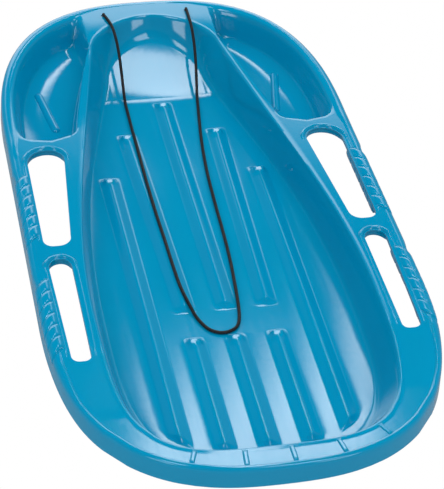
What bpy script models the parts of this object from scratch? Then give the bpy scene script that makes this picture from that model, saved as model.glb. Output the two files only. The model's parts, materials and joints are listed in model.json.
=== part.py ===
"""A one-piece moulded downhill sled with a tow rope.

The nose points along +Y, +Z is up, and the origin is at the middle of the
sled's length and width, on the ground that its floor lies on. All sizes are
in metres.
"""
import math

import bmesh
import bpy
from mathutils import Vector

# Overall size, over the rolled skirt
LENGTH = 0.890
WIDTH = 0.456
WALL = 0.003

# Heights of the top surface above the floor of the tub
TUB_DEPTH = 0.050
NOSE_RISE = 0.010
REAR_DROP = 0.008
BOWL_RISE = 0.030

# Rim: its crest lies inside the skirt's foot by the flare
SKIRT_DROP = 0.026
SKIRT_FLARE = 0.008
RIM_TAPER = 0.005
RIM_REAR_SQUARENESS = 2.60
RIM_FRONT_SQUARENESS = 2.51
RIM_BAR = 0.007
GRIP_BAR = 0.013
GRIP_CROWN = 0.004

# Stations along the sled
WIDEST_Y = -0.174
POCKET_REAR_Y = 0.167
FLANGE_FALL_LENGTH = 0.120

# Flange between the rim's crest and the tub's lip
FLANGE_SIDE = 0.0525
FLANGE_REAR = 0.0215
FLANGE_AT_POCKET = 0.0932
LIP_SQUARENESS = 3.7
LIP_SIDE_SLOPE = -0.20

# Tub nose
NOSE_HALF_WIDTH = 0.0876
NOSE_CORNER_Y = 0.335
NOSE_DECK = 0.0306
NOSE_SQUARENESS = 1.75

# Tub wall: how far the floor's edge lies inside the lip
WALL_RUN_SIDE = 0.021
WALL_RUN_REAR = 0.0255
WALL_RUN_AT_POCKET = 0.0140
WALL_RUN_NOSE_SIDE = 0.0240
WALL_RUN_NOSE = 0.0244
FLOOR_CORNER_BACK = 0.010
FLOOR_SQUARENESS = 3.15
FLOOR_SIDE_SLOPE = -0.27
BOWL_START_Y = 0.150
BOWL_END_Y = 0.382
BOWL_POWER = 4.2

# Raised floor ribs: half widths at the foot and at the top, height, end slope
RIB_FOOT = 0.0126
RIB_TOP = 0.0015
RIB_HEIGHT = 0.0055
RIB_END_RUN = 0.008
OUTER_RIB_X = 0.0968
INNER_RIB_FRONT_X = 0.0594
INNER_RIB_REAR_X = 0.0495
CENTRE_RIB_FRONT_Y = 0.278
INNER_RIB_FRONT_Y = 0.2145
OUTER_RIB_FRONT_Y = 0.127
LONG_RIB_REAR_Y = -0.140
SHORT_RIB_FRONT_Y = -0.185
RIB_TO_REAR_WALL = 0.016

# Foot pockets beside the nose
RIDGE = 0.0095
POCKET_DEPTH = 0.036
POCKET_INNER_RUN = 0.009
POCKET_OUTER_RUN = 0.0165
POCKET_TURN = 1.2
POCKET_END_SHARE = 0.07

# Hand holes: plan corners, with the outer edge at the grip bar
FRONT_HOLE_Y = (-0.0550, 0.1330)
REAR_HOLE_Y = (-0.2570, -0.0795)
FRONT_HOLE_INNER_X = (0.1748, 0.1552)
REAR_HOLE_INNER_X = (0.1803, 0.1779)
FRONT_HOLE_CORNER = 0.015
REAR_HOLE_CORNER = 0.010

# Tow rope: a loop from one hole in the nose deck to the other, knotted below it
ROPE_DIAMETER = 0.004
ROPE_HOLE_DIAMETER = 0.006
ROPE_HOLE_X = 0.0574
ROPE_HOLE_Y = 0.4120
ROPE_KNOT_DIAMETER = 0.011
ROPE_KNOT_HEIGHT = 0.009
ROPE_TAIL = 0.010
CLEARANCE = 0.0003
ROPE_LEAVES_DECK_Y = 0.385
ROPE_MEETS_FLOOR_Y = 0.285
ROPE_STEP = 0.012
ROPE_CONTACTS = ((0.0, 1.0), (0.5, 0.866), (0.9, 0.436))
ROPE_BRIDGE = 0.030
ROPE_SOFTNESS = 0.010
ROPE_ROUTE = (
    (-0.0574, 0.4120), (-0.0512, 0.3850), (-0.0490, 0.3567), (-0.0483, 0.3285),
    (-0.0485, 0.2848), (-0.0495, 0.2209), (-0.0503, 0.1687), (-0.0515, 0.1040),
    (-0.0515, 0.0405), (-0.0505, -0.0093), (-0.0498, -0.0631), (-0.0480, -0.1044),
    (-0.0415, -0.1425), (-0.0315, -0.1705), (-0.0185, -0.1820), (-0.0040, -0.1815),
    (0.0075, -0.1710), (0.0141, -0.1430), (0.0202, -0.0847), (0.0233, -0.0441),
    (0.0255, 0.0044), (0.0271, 0.0546), (0.0302, 0.1200), (0.0354, 0.1783),
    (0.0411, 0.2231), (0.0486, 0.2755), (0.0540, 0.3208), (0.0565, 0.3625),
    (0.0574, 0.4120))

# How the shell's surface is divided
REAR_CORNER_X = 0.124
REAR_ROWS = (0.0, RIB_TO_REAR_WALL, RIB_TO_REAR_WALL + RIB_END_RUN, 0.045, 0.075)
REAR_ROWS_CURVED = RIB_TO_REAR_WALL + RIB_END_RUN
REAR_ROWS_STRAIGHT = 0.100
NOSE_ROWS_STRAIGHT_Y = CENTRE_RIB_FRONT_Y
PLAIN_ROWS_Y = (-0.250, -0.080, -0.020, 0.046, 0.147, 0.192, 0.228, 0.250, 0.289, 0.300, 0.307)
COLUMN_STEP = 0.004
WALL_SHARES = (0.2, 0.4, 0.64, 0.88, 1.0)
WALL_FOOT_SHARE = 0.40
WALL_FOOT_SHARE_NOSE = 0.80
WALL_BROW_SHARE = 0.12
FLANGE_SHARES = (0.25, 0.55, 0.8)
CREST_DROP = 0.0015
SKIRT_SHOULDER = 0.006
SKIRT_SHOULDER_SHARE = 0.6
GRIP_ENDS_Y = (-0.265, 0.140)
CUTTER_HEIGHT = 0.100
ROUND_SIDES = 16

# Values that follow from the sizes above
RIM_HALF = WIDTH / 2 - SKIRT_FLARE
RIM_FRONT_HALF = RIM_HALF - RIM_TAPER
RIM_END = LENGTH / 2 - SKIRT_FLARE
RIM_REAR_REACH = RIM_END + WIDEST_Y
RIM_FRONT_REACH = RIM_END - POCKET_REAR_Y

LIP_HALF = RIM_HALF - FLANGE_SIDE
LIP_AT_POCKET = RIM_FRONT_HALF - FLANGE_AT_POCKET
LIP_REAR_REACH = RIM_REAR_REACH - FLANGE_REAR
LIP_NOSE_REACH = RIM_END - NOSE_DECK - NOSE_CORNER_Y

FLOOR_HALF = LIP_HALF - WALL_RUN_SIDE
FLOOR_AT_POCKET = LIP_AT_POCKET - WALL_RUN_AT_POCKET
FLOOR_REAR_REACH = LIP_REAR_REACH - WALL_RUN_REAR
FLOOR_NOSE_HALF = NOSE_HALF_WIDTH - WALL_RUN_NOSE_SIDE
FLOOR_CORNER_Y = NOSE_CORNER_Y - FLOOR_CORNER_BACK
FLOOR_NOSE_REACH = RIM_END - NOSE_DECK - WALL_RUN_NOSE - FLOOR_CORNER_Y

FLOOR_Z = WALL
LIP_Z = FLOOR_Z + TUB_DEPTH


def ease(t):
    """Smooth step from 0 to 1."""
    t = min(1.0, max(0.0, t))
    return t * t * (3 - 2 * t)


def rear_arc(half, reach, squareness, angle):
    """Point of a rear superellipse; angle 0 is the rear end, a quarter turn the side."""
    x = half * math.sin(angle) ** (2 / squareness)
    y = WIDEST_Y - reach * math.cos(angle) ** (2 / squareness)
    return Vector((x, y))


def rear_angle(half, squareness, x):
    """Angle at which a rear superellipse has the half width x."""
    return math.asin(min(1.0, x / half) ** (squareness / 2))


def hermite(y, start, end):
    """Half width between two knots, each (y, half width, slope)."""
    span = end[0] - start[0]
    t = (y - start[0]) / span
    return ((2 * t ** 3 - 3 * t ** 2 + 1) * start[1]
            + (t ** 3 - 2 * t ** 2 + t) * span * start[2]
            + (3 * t ** 2 - 2 * t ** 3) * end[1]
            + (t ** 3 - t ** 2) * span * end[2])


def rear_station(angle):
    """Floor edge, lip and rim crest on one ray of the rounded rear."""
    return (rear_arc(FLOOR_HALF, FLOOR_REAR_REACH, FLOOR_SQUARENESS, angle),
            rear_arc(LIP_HALF, LIP_REAR_REACH, LIP_SQUARENESS, angle),
            rear_arc(RIM_HALF, RIM_REAR_REACH, RIM_REAR_SQUARENESS, angle))


def lip_side_x(y):
    """Half width of the tub's lip ahead of the widest station."""
    pocket = (POCKET_REAR_Y, LIP_AT_POCKET, LIP_SIDE_SLOPE)
    if y < POCKET_REAR_Y:
        return hermite(y, (WIDEST_Y, LIP_HALF, 0), pocket)
    return hermite(y, pocket, (NOSE_CORNER_Y, NOSE_HALF_WIDTH, LIP_SIDE_SLOPE))


def floor_side_x(y):
    """Half width of the tub's floor ahead of the widest station."""
    pocket = (POCKET_REAR_Y, FLOOR_AT_POCKET, FLOOR_SIDE_SLOPE)
    if y < POCKET_REAR_Y:
        return hermite(y, (WIDEST_Y, FLOOR_HALF, 0), pocket)
    return hermite(y, pocket, (FLOOR_CORNER_Y, FLOOR_NOSE_HALF, FLOOR_SIDE_SLOPE))


def side_station(y):
    """The same three points on a ray straight across the sled's side."""
    along = (y - WIDEST_Y) / (POCKET_REAR_Y - WIDEST_Y)
    return (Vector((floor_side_x(y), y)),
            Vector((lip_side_x(y), y)),
            Vector((RIM_HALF - RIM_TAPER * along, y)))


def rim_front(angle):
    """Rim crest round the nose; angle 0 is the side, a quarter turn the tip."""
    power = 2 / RIM_FRONT_SQUARENESS
    return Vector((RIM_FRONT_HALF * math.cos(angle) ** power,
                   POCKET_REAR_Y + RIM_FRONT_REACH * math.sin(angle) ** power))


def rim_front_angle(x):
    """Angle at which the rim round the nose has the half width x."""
    return math.acos((x / RIM_FRONT_HALF) ** (RIM_FRONT_SQUARENESS / 2))


def pocket_station(share):
    """Ray through a foot pocket: share 0 at its rear edge, 1 beside the nose deck."""
    floor_y = POCKET_REAR_Y + share * (FLOOR_CORNER_Y - POCKET_REAR_Y)
    lip_y = POCKET_REAR_Y + share * (NOSE_CORNER_Y - POCKET_REAR_Y)
    return (Vector((floor_side_x(floor_y), floor_y)),
            Vector((lip_side_x(lip_y), lip_y)),
            rim_front(share ** POCKET_TURN * rim_front_angle(NOSE_HALF_WIDTH)))


def nose_rise(share):
    """Share of the nose arc's reach at a share of its half width."""
    return (1 - min(1.0, share) ** NOSE_SQUARENESS) ** (1 / NOSE_SQUARENESS)


def nose_station(share):
    """Ray across the nose deck: share is the distance from the centre line."""
    rise = nose_rise(share)
    return (Vector((FLOOR_NOSE_HALF * share, FLOOR_CORNER_Y + FLOOR_NOSE_REACH * rise)),
            Vector((NOSE_HALF_WIDTH * share, NOSE_CORNER_Y + LIP_NOSE_REACH * rise)),
            rim_front(rim_front_angle(NOSE_HALF_WIDTH * share)))


def flange_z(y):
    """Height of the flange: it climbs to the nose and falls to the rear."""
    climb = ease((y - POCKET_REAR_Y) / RIM_FRONT_REACH)
    fall = ease((WIDEST_Y - FLANGE_FALL_LENGTH / 2 - y) / FLANGE_FALL_LENGTH)
    return LIP_Z + NOSE_RISE * climb - REAR_DROP * fall


def rear_edge_y(x):
    """Where the floor ends at the rear, at the half width x."""
    return rear_arc(FLOOR_HALF, FLOOR_REAR_REACH, FLOOR_SQUARENESS,
                    rear_angle(FLOOR_HALF, FLOOR_SQUARENESS, x)).y


def inner_rib_x(y):
    """Centre line of the inner ribs, which spread a little towards the nose."""
    along = (y - LONG_RIB_REAR_Y) / (INNER_RIB_FRONT_Y - LONG_RIB_REAR_Y)
    along = min(1.0, max(0.0, along))
    return INNER_RIB_REAR_X + along * (INNER_RIB_FRONT_X - INNER_RIB_REAR_X)


def rib_height(x, y):
    """Height of the raised ribs above the floor."""
    def rib(centre, rear, front):
        side = (RIB_FOOT - abs(x - centre)) / (RIB_FOOT - RIB_TOP)
        end = min(y - rear, front - y) / RIB_END_RUN
        return RIB_HEIGHT * min(1.0, max(0.0, min(side, end)))

    rear = rear_edge_y(x) + RIB_TO_REAR_WALL
    inner = inner_rib_x(y)
    return max(rib(OUTER_RIB_X, rear, OUTER_RIB_FRONT_Y),
               rib(inner, LONG_RIB_REAR_Y, INNER_RIB_FRONT_Y),
               rib(0, LONG_RIB_REAR_Y, CENTRE_RIB_FRONT_Y),
               rib(inner, rear, SHORT_RIB_FRONT_Y),
               rib(0, rear, SHORT_RIB_FRONT_Y))


def bowl_z(y):
    """Height of the bare floor, which lifts towards the nose ever more steeply."""
    along = max(0.0, y - BOWL_START_Y) / (BOWL_END_Y - BOWL_START_Y)
    return FLOOR_Z + BOWL_RISE * along ** BOWL_POWER


def wall_rise(share, foot_y):
    """Share of the wall's height reached at a share of its run, round at both ends."""
    at_nose = ease((foot_y - FLOOR_CORNER_Y) / FLOOR_NOSE_REACH)
    foot = WALL_FOOT_SHARE + (WALL_FOOT_SHARE_NOSE - WALL_FOOT_SHARE) * at_nose
    brow = WALL_BROW_SHARE
    slope = 1 / (1 - foot / 2 - brow / 2)
    if share < foot:
        return slope * share * share / (2 * foot)
    if share > 1 - brow:
        return 1 - slope * (1 - share) ** 2 / (2 * brow)
    return slope * (share - foot / 2)


def front_edge_y(x):
    """Where the floor ends at the nose, at the half width x."""
    return FLOOR_CORNER_Y + FLOOR_NOSE_REACH * nose_rise(x / FLOOR_NOSE_HALF)


def rear_side_angle(y):
    """Angle at which the rear of the floor's edge has the station y."""
    return math.acos(((WIDEST_Y - y) / FLOOR_REAR_REACH) ** (FLOOR_SQUARENESS / 2))


def side_ray(y):
    """Ray that leaves the floor's side edge at the station y."""
    if y < WIDEST_Y:
        return rear_station(rear_side_angle(y))
    if y <= POCKET_REAR_Y:
        return side_station(y)
    return pocket_station((y - POCKET_REAR_Y) / (FLOOR_CORNER_Y - POCKET_REAR_Y))


def floor_rows():
    """Stations of the floor's rows on its side edge, from rear to nose."""
    corner = rear_edge_y(REAR_CORNER_X)
    pocket_end = (FLOOR_CORNER_Y - POCKET_REAR_Y) * POCKET_END_SHARE
    rows = [corner + step for step in REAR_ROWS] + list(PLAIN_ROWS_Y)
    for front in (SHORT_RIB_FRONT_Y, OUTER_RIB_FRONT_Y, INNER_RIB_FRONT_Y, CENTRE_RIB_FRONT_Y):
        rows += [front - RIB_END_RUN, front]
    rows += [LONG_RIB_REAR_Y, LONG_RIB_REAR_Y + RIB_END_RUN]
    rows += [POCKET_REAR_Y, POCKET_REAR_Y + pocket_end]
    rows += [FLOOR_CORNER_Y - pocket_end, FLOOR_CORNER_Y]
    return sorted(rows)


def floor_columns(y, half):
    """Half widths of the floor's columns, on the ribs' edges where there is room."""
    edges = [0, RIB_TOP, RIB_FOOT]
    for centre in (inner_rib_x(y), OUTER_RIB_X):
        edges += [centre - RIB_FOOT, centre - RIB_TOP, centre + RIB_TOP, centre + RIB_FOOT]
    count = len(edges)
    return [min(edge, half - COLUMN_STEP * (count - k)) for k, edge in enumerate(edges)] + [half]


def floor_point(station, x):
    """Point of the floor on the row that meets the side edge at this station."""
    corner = rear_edge_y(REAR_CORNER_X)
    straight = (station - corner - REAR_ROWS_CURVED) / (REAR_ROWS_STRAIGHT - REAR_ROWS_CURVED)
    rear = (1 - ease(straight)) * (rear_edge_y(min(x, REAR_CORNER_X)) - corner)
    curved = ease((station - NOSE_ROWS_STRAIGHT_Y) / (FLOOR_CORNER_Y - NOSE_ROWS_STRAIGHT_Y))
    nose = curved * (front_edge_y(min(x, FLOOR_NOSE_HALF)) - FLOOR_CORNER_Y)
    y = station + rear + nose
    return Vector((x, y, bowl_z(y) + rib_height(x, y)))


def bar_width(y):
    """Width of the bar that runs round the rim: wider at the hand grips."""
    return GRIP_BAR if GRIP_ENDS_Y[0] < y < GRIP_ENDS_Y[1] else RIM_BAR


def ray_points(ray, outward, in_pocket):
    """Section of the shell from the wall's foot out to the skirt's lower edge."""
    foot, lip, rim = ray
    height = flange_z(lip.y) - bowl_z(lip.y)
    points = []
    for share in WALL_SHARES:
        place = foot.lerp(lip, share)
        rise = bowl_z(place.y) + height * wall_rise(share, foot.y)
        points.append(Vector((place.x, place.y, rise)))
    across = (rim - lip).normalized()
    width = (rim - lip).length
    bar = bar_width(rim.y)
    crown = GRIP_CROWN if bar == GRIP_BAR else CREST_DROP
    if in_pocket:
        inner = RIDGE + POCKET_INNER_RUN
        outer = width - RIM_BAR - POCKET_OUTER_RUN
        rings = [(RIDGE, 0), (inner, -POCKET_DEPTH), (outer, -POCKET_DEPTH)]
    else:
        rings = [((width - bar) * share, 0) for share in FLANGE_SHARES]
    rings += [(width - bar, 0), (width - bar / 2, crown), (width, -CREST_DROP)]
    for distance, rise in rings:
        place = lip + across * distance
        points.append(Vector((place.x, place.y, flange_z(place.y) + rise)))
    rim_z = flange_z(rim.y)
    shoulder = rim + outward * SKIRT_FLARE * SKIRT_SHOULDER_SHARE
    hem = rim + outward * SKIRT_FLARE
    points.append(Vector((shoulder.x, shoulder.y, rim_z - SKIRT_SHOULDER)))
    points.append(Vector((hem.x, hem.y, rim_z - SKIRT_DROP)))
    return points


def half_shell():
    """Top surface of the sled's right half as one bmesh."""
    bm = bmesh.new()
    rows = []
    stations = floor_rows()
    for station in stations:
        edge_x = side_ray(station)[0].x
        rows.append([bm.verts.new(floor_point(station, x))
                     for x in floor_columns(station, edge_x)])
    for near, far in zip(rows, rows[1:]):
        for k in range(len(near) - 1):
            bm.faces.new((near[k], near[k + 1], far[k + 1], far[k]))

    rear = [rear_station(rear_angle(FLOOR_HALF, FLOOR_SQUARENESS, vert.co.x)) for vert in rows[0]]
    side = [side_ray(station) for station in stations[1:]]
    nose = [nose_station(vert.co.x / FLOOR_NOSE_HALF) for vert in reversed(rows[-1][:-1])]
    rays = rear + side + nose
    feet = rows[0] + [row[-1] for row in rows[1:]] + rows[-1][-2::-1]
    pocketed = ([False] * len(rear)
                + [POCKET_REAR_Y < station < FLOOR_CORNER_Y for station in stations[1:]]
                + [False] * len(nose))

    columns = []
    for i, (ray, vert, in_pocket) in enumerate(zip(rays, feet, pocketed)):
        if i == 0:
            outward = Vector((0, -1))
        elif i == len(rays) - 1:
            outward = Vector((0, 1))
        else:
            along = rays[i + 1][2] - rays[i - 1][2]
            outward = Vector((along.y, -along.x)).normalized()
        columns.append([vert] + [bm.verts.new(point)
                                 for point in ray_points(ray, outward, in_pocket)])
    for near, far in zip(columns, columns[1:]):
        for m in range(len(near) - 1):
            bm.faces.new((near[m], near[m + 1], far[m + 1], far[m]))
    return bm


def material(name, colour, roughness):
    """Principled material of one plain colour."""
    mat = bpy.data.materials.new(name)
    mat.use_nodes = True
    shader = mat.node_tree.nodes["Principled BSDF"]
    shader.inputs["Base Color"].default_value = (*colour, 1)
    shader.inputs["Roughness"].default_value = roughness
    mat.diffuse_color = (*colour, 1)
    return mat


def add_object(name, data, collection, mat=None):
    """Link new object data into a collection."""
    obj = bpy.data.objects.new(name, data)
    collection.objects.link(obj)
    if mat:
        data.materials.append(mat)
    return obj


def mesh_from(bm, name):
    """Finish a bmesh as mesh data."""
    mesh = bpy.data.meshes.new(name)
    bm.to_mesh(mesh)
    bm.free()
    return mesh


def mirror(obj):
    """Add the left half."""
    modifier = obj.modifiers.new("Left half", 'MIRROR')
    modifier.merge_threshold = 0.0001


def hole_cutter(name, corners, radius):
    """Upright prism on a four-cornered plan with rounded corners, and its mirror image."""
    bm = bmesh.new()
    plan = bm.faces.new([bm.verts.new((x, y, 0)) for x, y in corners])
    walls = bmesh.ops.extrude_face_region(bm, geom=[plan])
    raised = [item for item in walls["geom"] if isinstance(item, bmesh.types.BMVert)]
    bmesh.ops.translate(bm, verts=raised, vec=(0, 0, CUTTER_HEIGHT))
    upright = [edge for edge in bm.edges if edge.verts[0].co.z != edge.verts[1].co.z]
    bmesh.ops.bevel(bm, geom=upright, offset=radius, segments=4, profile=0.5, affect='EDGES')
    bmesh.ops.recalc_face_normals(bm, faces=bm.faces)
    obj = add_object(name, mesh_from(bm, name), cutters)
    mirror(obj)


def rim_x(y):
    """Half width of the rim's crest beside the hand holes."""
    if y < WIDEST_Y:
        power = RIM_REAR_SQUARENESS
        return RIM_HALF * (1 - ((WIDEST_Y - y) / RIM_REAR_REACH) ** power) ** (1 / power)
    return side_station(y)[2].x


def rope_axis_z(x, y):
    """Height of the rope's axis: on the deck, hanging past the nose wall, on the floor."""
    radius = ROPE_DIAMETER / 2
    lowest = 0.0
    for k in range(ROUND_SIDES):
        turn = 2 * math.pi * k / ROUND_SIDES
        for reach, lift in ROPE_CONTACTS:
            below_x = abs(x + reach * radius * math.cos(turn))
            below_y = y + reach * radius * math.sin(turn)
            lowest = max(lowest, rib_height(below_x, below_y) + lift * radius)
    deck = flange_z(y) + radius + CLEARANCE * 2
    floor = bowl_z(y) + lowest + CLEARANCE * 2
    lift = ease((y - ROPE_MEETS_FLOOR_Y) / (ROPE_LEAVES_DECK_Y - ROPE_MEETS_FLOOR_Y))
    return floor + (deck - floor) * lift


def settled(points):
    """Heights of a limp rope over the bumps below it, bridged and rounded."""
    bridged = []
    for place in points:
        bridged.append(max(other.z - (other.xy - place.xy).length_squared / (2 * ROPE_BRIDGE)
                           for other in points
                           if (other.xy - place.xy).length < ROPE_SOFTNESS * 2))
    heights = []
    for place in points:
        near = [(1 - (other.xy - place.xy).length / ROPE_SOFTNESS, height)
                for other, height in zip(points, bridged)
                if (other.xy - place.xy).length < ROPE_SOFTNESS]
        heights.append(sum(share * height for share, height in near)
                       / sum(share for share, height in near))
    return heights


def rope_line():
    """Even steps along a smooth curve through the route points."""
    route = [Vector(point) for point in ROPE_ROUTE]
    ends = [2 * route[0] - route[1]] + route + [2 * route[-1] - route[-2]]
    fine = []
    parts = 12
    for before, start, end, after in zip(ends, ends[1:], ends[2:], ends[3:]):
        for k in range(parts):
            t = k / parts
            fine.append(0.5 * (2 * start + (end - before) * t
                               + (2 * before - 5 * start + 4 * end - after) * t * t
                               + (3 * start - before - 3 * end + after) * t ** 3))
    fine.append(route[-1])
    fine = [Vector((point.x, point.y, rope_axis_z(point.x, point.y))) for point in fine]
    fine = [Vector((point.x, point.y, height)) for point, height in zip(fine, settled(fine))]
    reached = [0.0]
    for start, end in zip(fine, fine[1:]):
        reached.append(reached[-1] + (end - start).length)
    count = round(reached[-1] / ROPE_STEP)
    line = []
    i = 0
    for k in range(count + 1):
        target = min(reached[-1] * k / count, reached[-1])
        while i < len(fine) - 2 and reached[i + 1] < target:
            i += 1
        share = (target - reached[i]) / (reached[i + 1] - reached[i])
        line.append(fine[i].lerp(fine[i + 1], share))
    return line


def rope_curve():
    """The free loop of the rope as a round curve."""
    curve = bpy.data.curves.new("tow_rope", 'CURVE')
    curve.dimensions = '3D'
    line = rope_line()
    spline = curve.splines.new('POLY')
    spline.points.add(len(line) - 1)
    for point, place in zip(spline.points, line):
        point.co = (*place, 1)
    curve.bevel_depth = ROPE_DIAMETER / 2
    curve.bevel_resolution = 2
    curve.use_fill_caps = True
    return curve


def rope_end_mesh(name):
    """Stub of rope through the deck with its stopper knot and tail, about its own axis."""
    radius = ROPE_DIAMETER / 2
    top = flange_z(ROPE_HOLE_Y)
    knot_top = top - WALL - CLEARANCE * 2
    middle = knot_top - ROPE_KNOT_HEIGHT / 2
    knot = []
    slices = 8
    for k in range(1, slices):
        turn = math.pi * k / slices
        bulge = ROPE_KNOT_DIAMETER / 2 * math.sin(turn)
        if bulge > radius:
            knot.append((bulge, middle + ROPE_KNOT_HEIGHT / 2 * math.cos(turn)))
    tail = middle - ROPE_KNOT_HEIGHT / 2 - ROPE_TAIL
    profile = ([(0, top), (radius, top), (radius, knot[0][1] + radius / 4)] + knot
               + [(radius, knot[-1][1] - radius / 4), (radius, tail), (0, tail)])
    bm = bmesh.new()
    verts = [bm.verts.new((r, 0, z)) for r, z in profile]
    for start, end in zip(verts, verts[1:]):
        bm.edges.new((start, end))
    bmesh.ops.spin(bm, geom=bm.verts[:] + bm.edges[:], cent=(0, 0, 0), axis=(0, 0, 1),
                   angle=2 * math.pi, steps=ROUND_SIDES, use_merge=True)
    bmesh.ops.remove_doubles(bm, verts=bm.verts, dist=0.0001)
    bmesh.ops.recalc_face_normals(bm, faces=bm.faces)
    return mesh_from(bm, name)


for obj in list(bpy.data.objects):
    bpy.data.objects.remove(obj)

sled = bpy.data.collections.new("plastic_sled")
cutters = bpy.data.collections.new("cutters")
for collection in (sled, cutters):
    bpy.context.scene.collection.children.link(collection)

plastic = material("hull_plastic", (0.0, 0.26, 0.50), 0.25)
cord = material("rope_cord", (0.012, 0.010, 0.012), 0.85)

hole_cutter("hand_hole_front",
            [(FRONT_HOLE_INNER_X[0], FRONT_HOLE_Y[0]),
             (rim_x(FRONT_HOLE_Y[0]) - GRIP_BAR, FRONT_HOLE_Y[0]),
             (rim_x(FRONT_HOLE_Y[1]) - GRIP_BAR, FRONT_HOLE_Y[1]),
             (FRONT_HOLE_INNER_X[1], FRONT_HOLE_Y[1])], FRONT_HOLE_CORNER)
hole_cutter("hand_hole_rear",
            [(REAR_HOLE_INNER_X[0], REAR_HOLE_Y[0]),
             (rim_x(REAR_HOLE_Y[0]) - GRIP_BAR, REAR_HOLE_Y[0]),
             (rim_x(REAR_HOLE_Y[1]) - GRIP_BAR, REAR_HOLE_Y[1]),
             (REAR_HOLE_INNER_X[1], REAR_HOLE_Y[1])], REAR_HOLE_CORNER)

drill = bmesh.new()
bmesh.ops.create_cone(drill, cap_ends=True, segments=ROUND_SIDES, radius1=ROPE_HOLE_DIAMETER / 2,
                      radius2=ROPE_HOLE_DIAMETER / 2, depth=CUTTER_HEIGHT)
bmesh.ops.translate(drill, verts=drill.verts, vec=(ROPE_HOLE_X, ROPE_HOLE_Y, LIP_Z))
mirror(add_object("rope_hole", mesh_from(drill, "rope_hole"), cutters))

for cutter in cutters.objects:
    cutter.hide_render = True
    cutter.display_type = 'WIRE'

hull = add_object("sled_hull", mesh_from(half_shell(), "sled_hull"), sled, plastic)
mirror(hull)
shell = hull.modifiers.new("Shell", 'SOLIDIFY')
shell.thickness = WALL
shell.offset = -1
shell.use_even_offset = True
shell.use_quality_normals = True
holes = hull.modifiers.new("Holes", 'BOOLEAN')
holes.operation = 'DIFFERENCE'
holes.solver = 'EXACT'
holes.operand_type = 'COLLECTION'
holes.collection = cutters

rope = add_object("tow_rope", rope_curve(), sled, cord)
for name, side in (("rope_end_left", -1), ("rope_end_right", 1)):
    end = add_object(name, rope_end_mesh(name), sled, cord)
    end.location = (side * ROPE_HOLE_X, ROPE_HOLE_Y, 0)
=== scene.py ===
# %% [markdown]
# # A one-piece moulded sled
# The sled is one blow-moulded shell in glossy teal-blue plastic: a long tub with raised ribs,
# a wide flange with four hand holes, two foot pockets beside the nose, and a thin black tow
# rope that goes down through two holes in the nose deck. This script dresses the plain CAD
# solids: each step says what the part is, and how and why it is made that way.

# %% Open the frame
import json
import math

import bmesh
import bpy
from bmesh.types import BMEdge, BMFace, BMVert
from mathutils import Euler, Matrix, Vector

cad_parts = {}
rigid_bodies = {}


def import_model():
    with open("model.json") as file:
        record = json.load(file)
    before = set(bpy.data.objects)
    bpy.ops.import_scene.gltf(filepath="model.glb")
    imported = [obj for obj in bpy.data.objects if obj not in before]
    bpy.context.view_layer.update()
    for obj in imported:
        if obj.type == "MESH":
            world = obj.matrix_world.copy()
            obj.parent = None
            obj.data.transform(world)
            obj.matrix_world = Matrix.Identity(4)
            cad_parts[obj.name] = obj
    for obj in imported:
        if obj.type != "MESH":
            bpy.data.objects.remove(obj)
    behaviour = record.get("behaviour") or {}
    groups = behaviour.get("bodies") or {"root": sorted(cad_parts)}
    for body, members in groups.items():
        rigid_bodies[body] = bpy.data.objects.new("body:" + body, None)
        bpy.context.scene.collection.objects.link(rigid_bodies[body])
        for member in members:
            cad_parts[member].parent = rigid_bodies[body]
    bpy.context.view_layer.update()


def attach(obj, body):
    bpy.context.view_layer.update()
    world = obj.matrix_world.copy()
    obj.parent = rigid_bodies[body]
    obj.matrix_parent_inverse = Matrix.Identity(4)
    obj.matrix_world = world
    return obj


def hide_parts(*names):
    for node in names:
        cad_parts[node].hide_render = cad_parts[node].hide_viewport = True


for start_object in list(bpy.data.objects):
    bpy.data.objects.remove(start_object)
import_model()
scene = bpy.context.scene
scene.view_settings.view_transform = 'Standard'

# %% [markdown]
# ## The camera
# The photograph was taken with a long lens from behind the sled's left rear corner, looking
# down at about forty degrees. The place and turn below come from matching the outline, the
# hand holes and the ribs, so the lens needs no shift.

# %% Camera
CAMERA_PLACE = (-0.47086, -1.91849, 1.61210)
CAMERA_TURN = (50.5367, -3.0869, -11.9613)
CAMERA_LENS = 151.58
CAMERA_SENSOR = 36

lens = bpy.data.cameras.new("photo_camera")
lens.lens = CAMERA_LENS
lens.sensor_width = CAMERA_SENSOR
lens.sensor_fit = 'AUTO'
camera = bpy.data.objects.new("photo_camera", lens)
camera.location = CAMERA_PLACE
camera.rotation_euler = Euler([math.radians(a) for a in CAMERA_TURN])
scene.collection.objects.link(camera)
scene.camera = camera
print("camera lens", CAMERA_LENS, "mm")

# %% [markdown]
# ## The sled's main measures
# Nearly all of these are the named sizes and curves of the CAD source, in metres. Some follow
# the photo's highlights instead and differ from it by one to four millimetres: the rise of
# the floor, the fall of the nose deck, the rear flange with its crest and the wall below it,
# and the inner edge of the front hand holes. The floor's edge, the tub's lip and the rim's
# crest are three outlines seen from above. A line that crosses all three, called a ray here,
# gives the section of the shell at that place.

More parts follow.
